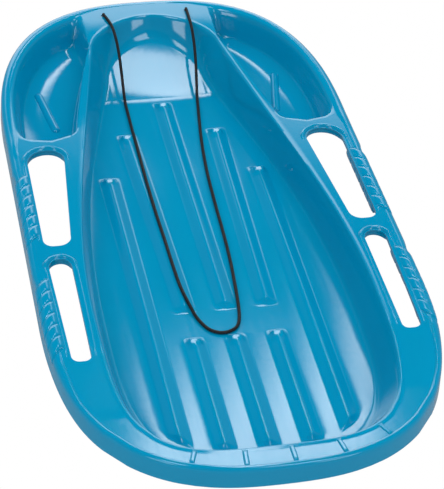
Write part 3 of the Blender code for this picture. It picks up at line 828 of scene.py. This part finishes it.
def on_hull(made, angle=60):
    """Shade a finished plastic piece and fix it to the hull."""
    soften(made, angle)
    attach(made, "hull")
    plastic_pieces.append(made)
    print(made.name, triangles(made), "triangles")


def moulded(name, bm, angle=60):
    """Plastic piece on the shell, made from its upper face, with a thin wall below."""
    made = new_piece(name, bm)
    skin = made.modifiers.new("Wall", 'SOLIDIFY')
    skin.thickness = LIP_WALL
    skin.offset = -1
    bake_modifiers(made)
    on_hull(made, angle)


def rolled_lip(name, corners, radii):
    """Loop of edges round a hole, extruded over a round and down into the hole.

    A profile row is the distance outwards, the height at the front end of the hole, the share
    of the extra depth there, and the height at the sides and the rear end, in mm but for the
    share.
    """
    bm = bmesh.new()
    number = bm.verts.layers.int.new("place")
    plan = hole_face(bm, corners, radii)
    long_edges = [edge for edge in plan.edges if edge.calc_length() > LIP_LONG_EDGE]
    bmesh.ops.subdivide_edges(bm, edges=long_edges, cuts=LIP_CUTS)
    plan = bmesh.ops.dissolve_faces(bm, faces=bm.faces[:], use_verts=False)["region"][0]
    fresh = list(plan.verts)
    edges = list(plan.edges)
    outline = [vert.co.xy.copy() for vert in fresh]
    outward = []
    for k, vert in enumerate(fresh):
        vert[number] = k
        along = outline[(k + 1) % len(outline)] - outline[k - 1]
        outward.append(Vector((along.y, -along.x)).normalized())
    bmesh.ops.delete(bm, geom=[plan], context='FACES_ONLY')
    for ring, (offset, rise, deep, flat) in enumerate(LIP_PROFILE):
        if ring:
            fresh, edges = extrude_ring(bm, edges)
        for vert in fresh:
            away = outward[vert[number]]
            place = outline[vert[number]] + away * offset * MM
            front = ease((away.y - LIP_TURN[0]) / (LIP_TURN[1] - LIP_TURN[0]))
            height = flat + (rise - flat) * front - LIP_END_DEPTH * deep * front
            vert.co = above(place, flange_z(place.y) + height * MM)
    face_up(bm)
    mirror_copy(bm)
    moulded(name, bm)


for place, (corners, radii) in HOLES.items():
    rolled_lip("hand_hole_lip_" + place, corners, radii)

# %% [markdown]
# ### Rope-twist hand grips
# The bar outside each hand hole is moulded like a thick twisted rope: smooth strands with a
# narrow groove between them that runs round the bar. A twisted curve along the bar would keep
# its twist to the very end. Here the strands have to fade into the smooth bar, so each grip
# is a grid that is bent over the bar and pressed in along the grooves. The four numbers of a
# grip are its rear end, its front end, its first groove from the front and how many there are.

# %% Hand grips
GRIPS = {"front": (-0.054, 0.102, 0.0860, 7), "rear": (-0.256, -0.098, -0.1126, 7)}
GRIP_STEP = 0.0005
GRIP_AROUND = 34
GRIP_TURN_START = -25
GRIP_TURN_SPAN = 230
GRIP_SQUARENESS = 2.4
GRIP_CENTRE_IN = 0.0030
GRIP_HALF_WIDTH = 0.0099
GRIP_CENTRE_DROP = 0.0075
GRIP_HEIGHT = 0.0088
GRIP_SINK = 0.0030
GRIP_END_RUN = 0.008
GRIP_PITCH = 0.0196
GRIP_SWEEP = 0.018
GRIP_SWEEP_POWER = 1.8
STRANDS_PAST = 0.004
STRANDS_FADE = 0.003
STRAND_BULGE = 0.0009
STRAND_FLATNESS = 8
GROOVE_DEPTH = 0.0006
GROOVE_HALF = 0.0007


def squarer(value):
    """Sine or cosine for a section that is squarer than an ellipse."""
    return math.copysign(abs(value) ** (2 / GRIP_SQUARENESS), value)


def grip(name, start, end, first_line, lines):
    """Bent grid over the bar, with grooves between the strands."""
    bm = bmesh.new()
    along = round((end - start) / GRIP_STEP)
    bmesh.ops.create_grid(bm, x_segments=GRIP_AROUND, y_segments=along, size=0.5)
    last_line = first_line - GRIP_PITCH * (lines - 1)
    for vert in bm.verts:
        y = start + (vert.co.y + 0.5) * (end - start)
        turn = math.radians(GRIP_TURN_START + (vert.co.x + 0.5) * GRIP_TURN_SPAN)
        plan = squarer(math.cos(turn))
        outer = min(1.0, max(0.0, (1 + plan) / 2))
        line_y = y + GRIP_SWEEP * outer ** GRIP_SWEEP_POWER
        strands = (ease((line_y - last_line + STRANDS_PAST) / STRANDS_FADE)
                   * ease((first_line + STRANDS_PAST - line_y) / STRANDS_FADE))
        nearest = round((line_y - first_line) / GRIP_PITCH)
        off = line_y - first_line - nearest * GRIP_PITCH
        groove = GROOVE_DEPTH * math.exp(-(off / GROOVE_HALF) ** 2)
        bulge = STRAND_BULGE * (1 - (1 - abs(2 * off / GRIP_PITCH)) ** STRAND_FLATNESS)
        ends = within(y, start, end, GRIP_END_RUN)
        lift = (bulge - groove) * strands - GRIP_SINK * (1 - strands * ends)
        height = (GRIP_HEIGHT + lift) * squarer(math.sin(turn))
        vert.co = (rim_x(y) - GRIP_CENTRE_IN + (GRIP_HALF_WIDTH + lift) * plan, y,
                   flange_z(y) - GRIP_CENTRE_DROP + height)
    face_up(bm)
    mirror_copy(bm)
    moulded(name, bm)


for place, measures in GRIPS.items():
    grip("hand_grip_" + place, *measures)

# %% [markdown]
# ## The tow rope
# A limp 4 mm rope lies in the tub as one loop. It comes up through a hole in the nose deck,
# hangs down past the tub's front wall, lies on the floor, turns at the middle of the tub and
# goes back the same way. Its height is found from the floor and the ribs below it, bridged
# and rounded the way a limp rope settles. A bevelled curve would be quicker, but it would stay
# a smooth tube. So the rope is a circle that is extruded along that line, and its radius
# swells and sinks along a helix, which lets the twist show at the rope's outline too.

# %% Rope route
ROPE_DIAMETER = 0.004
CLEARANCE = 0.0006
ROPE_LEAVES_DECK_Y = 0.385
ROPE_MEETS_FLOOR_Y = 0.285
ROPE_ROUTE = (
    (-0.0574, 0.4120), (-0.0512, 0.3850), (-0.0490, 0.3567), (-0.0483, 0.3285),
    (-0.0485, 0.2848), (-0.0495, 0.2209), (-0.0503, 0.1687), (-0.0515, 0.1040),
    (-0.0515, 0.0405), (-0.0505, -0.0093), (-0.0498, -0.0631), (-0.0480, -0.1044),
    (-0.0415, -0.1425), (-0.0315, -0.1705), (-0.0185, -0.1820), (-0.0040, -0.1815),
    (0.0075, -0.1710), (0.0141, -0.1430), (0.0202, -0.0847), (0.0233, -0.0441),
    (0.0255, 0.0044), (0.0271, 0.0546), (0.0302, 0.1200), (0.0354, 0.1783),
    (0.0411, 0.2231), (0.0486, 0.2755), (0.0540, 0.3208), (0.0565, 0.3625),
    (0.0574, 0.4120))
ROPE_PARTS = 24
ROPE_STEP = 0.0014
# Points of the rope's underside: how far out, and how far below the axis, in radii.
ROPE_CONTACTS = ((0.0, 1.0), (0.5, 0.866), (0.9, 0.436))
ROPE_CONTACT_TURNS = 16
ROPE_BRIDGE = 0.030
ROPE_SOFTNESS = 0.010


def smooth_curve(points, first, last, parts):
    """Smooth curve through the points, in parts; first and last steer its two ends."""
    ends = [first] + points + [last]
    fine = []
    for before, start, end, after in zip(ends, ends[1:], ends[2:], ends[3:]):
        for k in range(parts):
            t = k / parts
            fine.append(0.5 * (2 * start + (end - before) * t
                               + (2 * before - 5 * start + 4 * end - after) * t * t
                               + (3 * start - before - 3 * end + after) * t ** 3))
    return fine + [points[-1]]


def rope_axis_z(x, y):
    """Height of the rope's axis: on the deck, hanging past the nose wall, on the floor."""
    radius = ROPE_DIAMETER / 2
    bump = 0.0
    for k in range(ROPE_CONTACT_TURNS):
        turn = 2 * math.pi * k / ROPE_CONTACT_TURNS
        for reach, lift in ROPE_CONTACTS:
            below_x = abs(x + reach * radius * math.cos(turn))
            below_y = y + reach * radius * math.sin(turn)
            bump = max(bump, rib_height(below_x, below_y) + lift * radius)
    deck = flange_z(y) + radius + CLEARANCE
    floor = bowl_z(y) + bump + CLEARANCE
    lift = ease((y - ROPE_MEETS_FLOOR_Y) / (ROPE_LEAVES_DECK_Y - ROPE_MEETS_FLOOR_Y))
    return floor + (deck - floor) * lift


def settled(points):
    """Heights of a limp rope over the bumps below it, bridged and rounded."""
    bridged = []
    for place in points:
        bridged.append(max(other.z - (other.xy - place.xy).length_squared / (2 * ROPE_BRIDGE)
                           for other in points
                           if (other.xy - place.xy).length < ROPE_SOFTNESS * 2))
    heights = []
    for place in points:
        near = [(1 - (other.xy - place.xy).length / ROPE_SOFTNESS, height)
                for other, height in zip(points, bridged)
                if (other.xy - place.xy).length < ROPE_SOFTNESS]
        heights.append(sum(share * height for share, height in near)
                       / sum(share for share, height in near))
    return heights


def rope_line(step):
    """Even steps along a smooth curve through the route points."""
    route = [Vector(point) for point in ROPE_ROUTE]
    fine = smooth_curve(route, 2 * route[0] - route[1], 2 * route[-1] - route[-2], ROPE_PARTS)
    fine = [above(point, rope_axis_z(point.x, point.y)) for point in fine]
    fine = [above(point, height) for point, height in zip(fine, settled(fine))]
    reached = [0.0]
    for start, end in zip(fine, fine[1:]):
        reached.append(reached[-1] + (end - start).length)
    count = round(reached[-1] / step)
    line = []
    i = 0
    for k in range(count + 1):
        target = min(reached[-1] * k / count, reached[-1])
        while i < len(fine) - 2 and reached[i + 1] < target:
            i += 1
        share = (target - reached[i]) / (reached[i + 1] - reached[i])
        line.append(fine[i].lerp(fine[i + 1], share))
    return line


rope_points = rope_line(ROPE_STEP)

# %% Rope mesh
ROPE_SIDES = 18
STRANDS = 3
STRAND_PITCH = 0.011
STRAND_SINK = 0.10


def sweep(bm, line, sides, radius_at):
    """Extrude a circle along a line; radius_at(distance, turn) gives the surface."""
    start = (line[1] - line[0]).normalized()
    side = start.cross(Vector((0, 0, 1))).normalized()
    ring = bmesh.ops.create_circle(bm, segments=sides, radius=1)["verts"]
    edges = list({edge for vert in ring for edge in vert.link_edges})
    bm.faces.new(ring)
    reached = 0.0
    for k, place in enumerate(line):
        ahead = line[min(k + 1, len(line) - 1)] - line[max(k - 1, 0)]
        ahead.normalize()
        side = (side - ahead * side.dot(ahead)).normalized()
        up = side.cross(ahead)
        if k > 0:
            reached += (line[k] - line[k - 1]).length
            fresh, edges = extrude_ring(bm, edges)
            following = {edge.other_vert(vert): vert for vert in fresh for edge in vert.link_edges}
            ring = [following[vert] for vert in ring]
        for i, vert in enumerate(ring):
            turn = 2 * math.pi * i / sides
            radius = radius_at(reached, turn)
            vert.co = place + radius * (math.cos(turn) * side + math.sin(turn) * up)
    bm.faces.new(ring)
    bmesh.ops.recalc_face_normals(bm, faces=bm.faces)


def rope_radius(distance, turn):
    """Three strands laid round each other."""
    phase = STRANDS * (turn - 2 * math.pi * distance / STRAND_PITCH)
    return ROPE_DIAMETER / 2 * (1 - STRAND_SINK * (0.5 - 0.5 * math.cos(phase)) ** 3)


rope_bm = bmesh.new()
sweep(rope_bm, rope_points, ROPE_SIDES, rope_radius)
tow_rope = new_piece("tow_rope_loop", rope_bm)
soften(tow_rope)
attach(tow_rope, "rope")
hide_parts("tow_rope")
rope_pieces = [tow_rope]
print("rope loop", triangles(tow_rope), "triangles")

# %% [markdown]
# ### Strips on the rear flange and ribs in the pockets
# Five short raised strips cross the rear flange, and each foot pocket has one round-ended
# rib on its floor. They could be raised out of the shell, but its rows run along the flange
# and the pocket's floor is one stretched field, so they are small pieces of their own that
# sink a little into the surface. A strip is a grid with a rounded section, and a pocket rib
# is a swept round that sinks in by nearly half.

# %% Rear strips
STRIP_X = (-0.1005, -0.0428, 0.0110, 0.0675, 0.1226)
STRIP_HALF = 0.0027
STRIP_SPREAD = 1.25
STRIP_STEEPNESS = 3.2
STRIP_SIDE_ROUND = 0.4
STRIP_HEIGHT = 0.0013
STRIP_SINK = 0.0008
STRIP_END = 0.003
STRIP_END_ROUND = 0.3
STRIP_SEARCH_STEP = 0.0005
STRIP_COLUMNS = 12
STRIP_ROWS = 24
STRIP_CREASE = 50
BESIDE_ANGLE = 0.01


def inside_lip(place):
    """Whether a plan point lies inside the rounded rear of the tub's lip."""
    across = abs(place.x) / LIP_HALF
    back = (WIDEST_Y - place.y) / LIP_REAR_REACH
    return across ** LIP_SQUARENESS + back ** LIP_SQUARENESS < 1


def rear_strip(bm, x):
    """Raised strip across the rear flange, from the rim's crest at x to the tub's lip."""
    angle = rear_angle(RIM_HALF, RIM_REAR_SQUARENESS, abs(x))
    crest, beside = (rear_arc(RIM_HALF, RIM_REAR_REACH, RIM_REAR_SQUARENESS, angle + more)
                     for more in (0, BESIDE_ANGLE))
    along = (beside - crest).normalized()
    inward = Vector((-along.y, along.x))
    reach = 0.0
    while not inside_lip(crest + inward * reach):
        reach += STRIP_SEARCH_STEP
    grid = bmesh.ops.create_grid(bm, x_segments=STRIP_COLUMNS, y_segments=STRIP_ROWS, size=0.5)
    for vert in grid["verts"]:
        off = vert.co.x * 2
        distance = -CREST_OUT_REAR / 2 + (reach + CREST_OUT_REAR / 2) * (vert.co.y + 0.5)
        flank = soft_step((1 - abs(off)) * STRIP_STEEPNESS, STRIP_SIDE_ROUND)
        end = min(distance + CREST_OUT_REAR / 2, reach - distance) / STRIP_END
        rise = (STRIP_HEIGHT + STRIP_SINK) * flank * soft_step(end, STRIP_END_ROUND)
        place = crest + inward * distance + along * off * STRIP_HALF * STRIP_SPREAD
        vert.co = (math.copysign(place.x, x), place.y, flange_z(place.y) + (-STRIP_SINK + rise))


strips = bmesh.new()
for x in STRIP_X:
    rear_strip(strips, x)
bmesh.ops.recalc_face_normals(strips, faces=strips.faces)
for face in strips.faces:
    if face.normal.z < 0:
        face.normal_flip()
moulded("rear_flange_strips", strips, STRIP_CREASE)

# %% Pocket ribs
POCKET_RIBS = (((-0.164, 0.299), (-0.150, 0.214)), ((0.160, 0.305), (0.144, 0.221)))
POCKET_RIB_RADIUS = 0.0064
POCKET_RIB_SINK = 0.0030
POCKET_RIB_STEPS = 60
POCKET_RIB_SIDES = 20
POCKET_RIB_BLUNT = 0.02

pocket_bm = bmesh.new()
for (x0, y0), (x1, y1) in POCKET_RIBS:
    line = []
    for k in range(POCKET_RIB_STEPS + 1):
        share = k / POCKET_RIB_STEPS
        y = y0 + (y1 - y0) * share
        z = flange_z(y) - POCKET_DEPTH - POCKET_RIB_SINK
        line.append(Vector((x0 + (x1 - x0) * share, y, z)))
    length = (line[-1] - line[0]).length

    def rib_radius(distance, turn, length=length):
        """Round at both ends."""
        near = min(distance, length - distance) / POCKET_RIB_RADIUS
        return POCKET_RIB_RADIUS * math.sqrt(max(POCKET_RIB_BLUNT, 1 - max(0.0, 1 - near) ** 2))

    sweep(pocket_bm, line, POCKET_RIB_SIDES, rib_radius)
on_hull(new_piece("foot_pocket_ribs", pocket_bm))

# %% [markdown]
# ### Rope ends
# Under the deck each end of the rope is tied in an overhand knot, so that it can't pull
# through its hole. The photograph doesn't show it, but it is the usual way to hold such a
# rope. A ball would do for a stopper. The knot costs little more with the same sweep, because
# it follows a trefoil curve, a known formula, between the stub and the short tail.

# %% Stopper knots
KNOT_WIDTH = 0.0052
KNOT_DROP = 0.0085
KNOT_TURN_START = -20
KNOT_TURN_SPAN = 300
KNOT_POINTS = 18
KNOT_PLAN = 0.8
KNOT_WAVE = 0.0028
STUB_DROPS = (0.0005, 0.003)
TAIL_ASIDE = 0.001
TAIL_DROPS = (0.008, 0.013)
KNOT_PARTS = 6
KNOT_SIDES = 14


def knot_line():
    """Centre line of a stub, an overhand knot and a tail, about the hole's own axis."""
    top = flange_z(ROPE_HOLE_Y)
    middle = top - WALL - KNOT_DROP
    size = KNOT_WIDTH / 3
    points = [Vector((0, 0, top - drop)) for drop in STUB_DROPS]
    for k in range(KNOT_POINTS + 1):
        t = math.radians(KNOT_TURN_START + KNOT_TURN_SPAN * k / KNOT_POINTS)
        points.append(Vector((size * (math.sin(t) + 2 * math.sin(2 * t)) * KNOT_PLAN,
                              size * (math.cos(t) - 2 * math.cos(2 * t)) * KNOT_PLAN,
                              middle - KNOT_WAVE * math.sin(3 * t))))
    points += [Vector((0, TAIL_ASIDE, middle - drop)) for drop in TAIL_DROPS]
    return smooth_curve(points, points[0], points[-1], KNOT_PARTS)


for side, node in ((-1, "rope_end_left"), (1, "rope_end_right")):
    knot_bm = bmesh.new()
    line = [point + Vector((side * ROPE_HOLE_X, ROPE_HOLE_Y, 0)) for point in knot_line()]
    sweep(knot_bm, line, KNOT_SIDES, rope_radius)
    knot = new_piece(node.replace("end", "knot"), knot_bm)
    soften(knot)
    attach(knot, "hull")
    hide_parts(node)
    rope_pieces.append(knot)
    print(knot.name, triangles(knot), "triangles", [round(v, 4) for v in knot.bound_box[0]])

# %% [markdown]
# ## Finishes
# The plastic is a glossy teal blue with a slight cloudiness, an orange-peel surface and fine
# rub marks. One even colour on a flat mirror would look computed, so a node group changes the
# colour slowly, roughens the surface in thin streaks and gives it fine waves. The rope is a
# nearly black synthetic fibre with a few warm flecks, and its group is one fine noise that
# makes the flecks, the fuzz and the roughness together.

# %% Node helpers


def feed(tree, node, inputs):
    """Give each input of a node its value, or link it to a socket."""
    for key, value in inputs.items():
        if isinstance(value, bpy.types.NodeSocket):
            tree.links.new(value, node.inputs[key])
        else:
            node.inputs[key].default_value = value


def add_node(tree, kind, inputs=None, **settings):
    """Add a shader node, set its options and feed its inputs."""
    node = tree.nodes.new(kind)
    for key, value in settings.items():
        setattr(node, key, value)
    feed(tree, node, inputs or {})
    return node


def calculate(tree, operation, first, second):
    """One Math node on two sockets or numbers."""
    node = add_node(tree, 'ShaderNodeMath', {0: first, 1: second}, operation=operation)
    return node.outputs["Value"]


def change(tree, socket, start, end, low=0.0, high=1.0, kind='LINEAR'):
    """Change from low to high as a value goes from start to end."""
    reach = {"Value": socket, "From Min": start, "From Max": end, "To Min": low, "To Max": high}
    return add_node(tree, 'ShaderNodeMapRange', reach, interpolation_type=kind).outputs["Result"]


def noise(tree, vector, scale, detail):
    """Noise between 0 and 1 on the given coordinates."""
    inputs = {"Vector": vector, "Scale": scale, "Detail": detail}
    return add_node(tree, 'ShaderNodeTexNoise', inputs).outputs["Fac"]


def mix_colours(tree, share, first, second):
    """Blend of two colours."""
    node = add_node(tree, 'ShaderNodeMix', {"Factor": share, 6: first, 7: second},
                    data_type='RGBA')
    return node.outputs[2]


def new_group(name, inputs):
    """Shader group that gives a colour, a roughness and a height, with named sockets."""
    group = bpy.data.node_groups.new(name, 'ShaderNodeTree')
    for label, kind, value in inputs:
        socket = group.interface.new_socket(label, in_out='INPUT', socket_type=kind)
        socket.default_value = value
    for label, kind in (("Colour", 'NodeSocketColor'), ("Roughness", 'NodeSocketFloat'),
                        ("Height", 'NodeSocketFloat')):
        group.interface.new_socket(label, in_out='OUTPUT', socket_type=kind)
    given = add_node(group, 'NodeGroupInput').outputs
    return group, given, add_node(group, 'NodeGroupOutput')


def principled(name, group, values, bump, pieces):
    """Material with a detail group on its Principled shader, given to its pieces."""
    mat = bpy.data.materials.new(name)
    mat.use_nodes = True
    tree = mat.node_tree
    detail = add_node(tree, 'ShaderNodeGroup', values, node_tree=group).outputs
    relief = add_node(tree, 'ShaderNodeBump',
                      {"Strength": bump[0], "Distance": bump[1], "Height": detail["Height"]})
    feed(tree, tree.nodes["Principled BSDF"],
         {"Base Color": detail["Colour"], "Roughness": detail["Roughness"],
          "Normal": relief.outputs["Normal"]})
    for piece in pieces:
        piece.data.materials.clear()
        piece.data.materials.append(mat)
    print("material", name, "on", len(pieces), "pieces")


# %% Moulded plastic
CLOUD_NOISE = (9, 4)
CLOUD_REACH = (0.35, 0.75)
CLOUD_SHARE = 0.55
PEEL_NOISE = (160, 2)
RUB_STRETCH = (220, 14, 60)
RUB_NOISE = (1, 3)
RUB_REACH = (0.5, 0.8)
PLASTIC_BUMP = (0.06, 0.0003)

group, given, result = new_group(
    "moulded_plastic",
    (("Colour", 'NodeSocketColor', (0, 0.26, 0.50, 1)),
     ("Deep Colour", 'NodeSocketColor', (0, 0.20, 0.42, 1)),
     ("Roughness", 'NodeSocketFloat', 0.16),
     ("Rub", 'NodeSocketFloat', 0.08)))
coords = add_node(group, 'ShaderNodeTexCoord').outputs["Object"]
cloud = change(group, noise(group, coords, *CLOUD_NOISE), *CLOUD_REACH, 0.0, CLOUD_SHARE)
stretched = add_node(group, 'ShaderNodeMapping', {"Vector": coords, "Scale": RUB_STRETCH})
rub = change(group, noise(group, stretched.outputs["Vector"], *RUB_NOISE), *RUB_REACH)
rub = calculate(group, 'MULTIPLY', rub, given["Rub"])
feed(group, result,
     {"Colour": mix_colours(group, cloud, given["Colour"], given["Deep Colour"]),
      "Roughness": calculate(group, 'ADD', given["Roughness"], rub),
      "Height": noise(group, coords, *PEEL_NOISE)})
principled("teal_plastic", group,
           {"Colour": (0.0, 0.268, 0.480, 1), "Deep Colour": (0.0, 0.240, 0.445, 1),
            "Roughness": 0.065, "Rub": 0.04}, PLASTIC_BUMP, plastic_pieces)

# %% Rope fibre
FUZZ_DETAIL = 3
FLECK_REACH = (0.55, 0.72)
FIBRE_ROUGHNESS = (0.55, 0.85)
FIBRE_BUMP = (0.6, 0.0005)

group, given, result = new_group(
    "rope_fibre",
    (("Colour", 'NodeSocketColor', (0.012, 0.010, 0.012, 1)),
     ("Fleck", 'NodeSocketColor', (0.06, 0.03, 0.03, 1)),
     ("Scale", 'NodeSocketFloat', 500.0)))
coords = add_node(group, 'ShaderNodeTexCoord').outputs["Object"]
fuzz = noise(group, coords, given["Scale"], FUZZ_DETAIL)
fleck = change(group, fuzz, *FLECK_REACH)
feed(group, result,
     {"Colour": mix_colours(group, fleck, given["Colour"], given["Fleck"]),
      "Roughness": change(group, fuzz, 0.0, 1.0, *FIBRE_ROUGHNESS),
      "Height": fuzz})
principled("black_rope", group,
           {"Colour": (0.006, 0.005, 0.006, 1), "Fleck": (0.035, 0.02, 0.02, 1),
            "Scale": 450.0}, FIBRE_BUMP, rope_pieces)

# %% [markdown]
# ## Floor, backdrop and light
# The photograph is a cut-out on white, so the floor and the world are plain white to the
# camera. The highlights tell where the lights were, and the world puts them there for mirror
# rays: a round lamp on the ceiling beyond the nose, a long soft box below it, a dark gap,
# which the level floor shows, a pale backdrop low down, and windows behind the camera, which
# the round nose wall catches. Everything else is lit by a soft sky, brighter overhead. Lamp
# objects would do too, but a sky that is drawn by nodes gives each light the very outline
# that the highlights in the photograph ask for.

# %% Floor
FLOOR_SIZE = 12.0
FLOOR_GREY = 0.80
FLOOR_MIRRORED = 0.35
FLOOR_BELOW = 0.0005

ground = bmesh.new()
bmesh.ops.create_grid(ground, x_segments=4, y_segments=4, size=FLOOR_SIZE / 2)
floor = new_piece("studio_floor", ground)
floor.location.z = -FLOOR_BELOW
floor_mat = bpy.data.materials.new("studio_white")
floor_mat.use_nodes = True
tree = floor_mat.node_tree
tree.nodes.clear()
ray_kind = add_node(tree, 'ShaderNodeLightPath').outputs
seen = calculate(tree, 'MAXIMUM', ray_kind["Is Camera Ray"], ray_kind["Is Glossy Ray"])
seen = calculate(tree, 'MAXIMUM', seen, ray_kind["Is Transmission Ray"])
level = change(tree, ray_kind["Is Camera Ray"], 0.0, 1.0, FLOOR_MIRRORED, 1.0)
paper = add_node(tree, 'ShaderNodeBsdfDiffuse', {"Color": (FLOOR_GREY, FLOOR_GREY, FLOOR_GREY, 1)})
white = add_node(tree, 'ShaderNodeEmission', {"Strength": level})
mixed = add_node(tree, 'ShaderNodeMixShader',
                 {"Fac": seen, 1: paper.outputs["BSDF"], 2: white.outputs["Emission"]})
add_node(tree, 'ShaderNodeOutputMaterial', {"Surface": mixed.outputs["Shader"]})
floor.data.materials.append(floor_mat)
print("floor", FLOOR_SIZE, "m wide")

# %% Where a mirror ray goes
CEILING_FADE = (0.2, 0.3)

world = bpy.data.worlds.new("studio")
scene.world = world
world.use_nodes = True
sky = world.node_tree
sky.nodes.clear()
coords = add_node(sky, 'ShaderNodeTexCoord').outputs["Generated"]
split = add_node(sky, 'ShaderNodeSeparateXYZ', {"Vector": coords}).outputs
height = split["Z"]


def product(*values):
    """Sockets and numbers multiplied."""
    made = values[0]
    for value in values[1:]:
        made = calculate(sky, 'MULTIPLY', made, value)
    return made


def soft(socket, start, end, low=0.0, high=1.0):
    """Smooth change from low to high as a value goes from start to end."""
    return change(sky, socket, start, end, low, high, 'SMOOTHSTEP')


def band(socket, edges):
    """1 between the two middle edges and 0 outside the outer ones."""
    return product(soft(socket, edges[0], edges[1]), soft(socket, edges[2], edges[3], 1.0, 0.0))


heading = product(calculate(sky, 'ARCTAN2', split["X"], split["Y"]), 180 / math.pi)
round_turn = calculate(sky, 'MODULO', calculate(sky, 'ADD', heading, 360.0), 360.0)
climb = product(calculate(sky, 'ARCSINE', height, 0.0), 180 / math.pi)
along = calculate(sky, 'DIVIDE', split["Y"], height)
across = calculate(sky, 'DIVIDE', split["X"], height)
high_up = soft(height, *CEILING_FADE)
print("nodes that find the place in the sky", len(sky.nodes))

# %% Lamps and windows
BACKDROP = (0.555, 0.609, 2.7)
BACKDROP_TURNS = (-26.0, -10.0, 24.0, 36.0)
BACKDROP_ASIDE = 0.06
BACKDROP_BEHIND = 0.04
ROUND_LAMP = {"slant": 0.15, "middle": (0.122, 0.50), "half": (0.045, 0.42),
              "edge": 0.22, "strength": 8.5}
LONG_BOX = {"left": (0.15, 0.048, 0.068), "right": (0.25, 0.115, 0.145),
            "near": (0.920, 0.945), "far": (0.97, 1.09), "strength": 8.0}
WINDOWS_BEHIND = (((139.0, 143.0, 158.0, 162.0), (11.0, 15.0, 22.0, 26.0), 4.5),
                  ((214.0, 218.0, 232.0, 236.0), (9.0, 13.0, 20.0, 24.0), 4.5),
                  ((139.0, 143.0, 162.0, 168.0), (40.0, 45.0, 62.0, 66.0), 5.0),
                  ((208.0, 214.0, 230.0, 236.0), (40.0, 45.0, 62.0, 66.0), 6.0))
SKY_LOW = 0.35
SKY_HIGH = 1.55


def beside_line(slant):
    """Distance across a ceiling one unit up, from a line that slants."""
    return calculate(sky, 'SUBTRACT', across, product(along, slant))


def round_lamp(slant, middle, half, edge, strength):
    """Soft-edged ellipse on the ceiling."""
    off = []
    for value, centre, reach in zip((beside_line(slant), along), middle, half):
        share = calculate(sky, 'DIVIDE', calculate(sky, 'SUBTRACT', value, centre), reach)
        off.append(product(share, share))
    made = soft(calculate(sky, 'ADD', *off), 1 - edge, 1 + edge, 1.0, 0.0)
    return product(made, high_up, strength)


def long_box(left, right, near, far, strength):
    """Soft-edged quadrangle on the ceiling; each side edge is a slant and a fade."""
    return product(soft(beside_line(left[0]), left[1], left[2]),
                   soft(beside_line(right[0]), right[1], right[2], 1.0, 0.0),
                   soft(along, *near), soft(along, *far, 1.0, 0.0), high_up, strength)


def window(turns, heights, strength):
    """Soft-edged rectangle of light, in degrees round the sled and above the horizon."""
    return product(band(round_turn, turns), band(climb, heights), strength)


def background(strength):
    """White sky of a given strength."""
    node = add_node(sky, 'ShaderNodeBackground', {"Color": (1, 1, 1, 1), "Strength": strength})
    return node.outputs["Background"]


def chosen(share, first, second):
    """The first sky, or the second for one kind of ray."""
    return add_node(sky, 'ShaderNodeMixShader', {"Fac": share, 1: first, 2: second}).outputs[0]


ahead = product(soft(heading, *BACKDROP_TURNS[:2]),
                soft(heading, *BACKDROP_TURNS[2:], 1.0, BACKDROP_ASIDE))
ahead = calculate(sky, 'MAXIMUM', ahead, BACKDROP_BEHIND)
mirrored = product(ahead, soft(height, *BACKDROP, 0.0))
for light in (round_lamp(**ROUND_LAMP), long_box(**LONG_BOX),
              *(window(*sizes) for sizes in WINDOWS_BEHIND)):
    mirrored = calculate(sky, 'ADD', mirrored, light)
ray_kind = add_node(sky, 'ShaderNodeLightPath').outputs
fill = background(soft(height, 0.0, 1.0, SKY_LOW, SKY_HIGH))
lit = chosen(ray_kind["Is Glossy Ray"], fill, background(mirrored))
shown = chosen(ray_kind["Is Camera Ray"], lit, background(1.0))
add_node(sky, 'ShaderNodeOutputWorld', {"Surface": shown})
print("world nodes", len(sky.nodes))
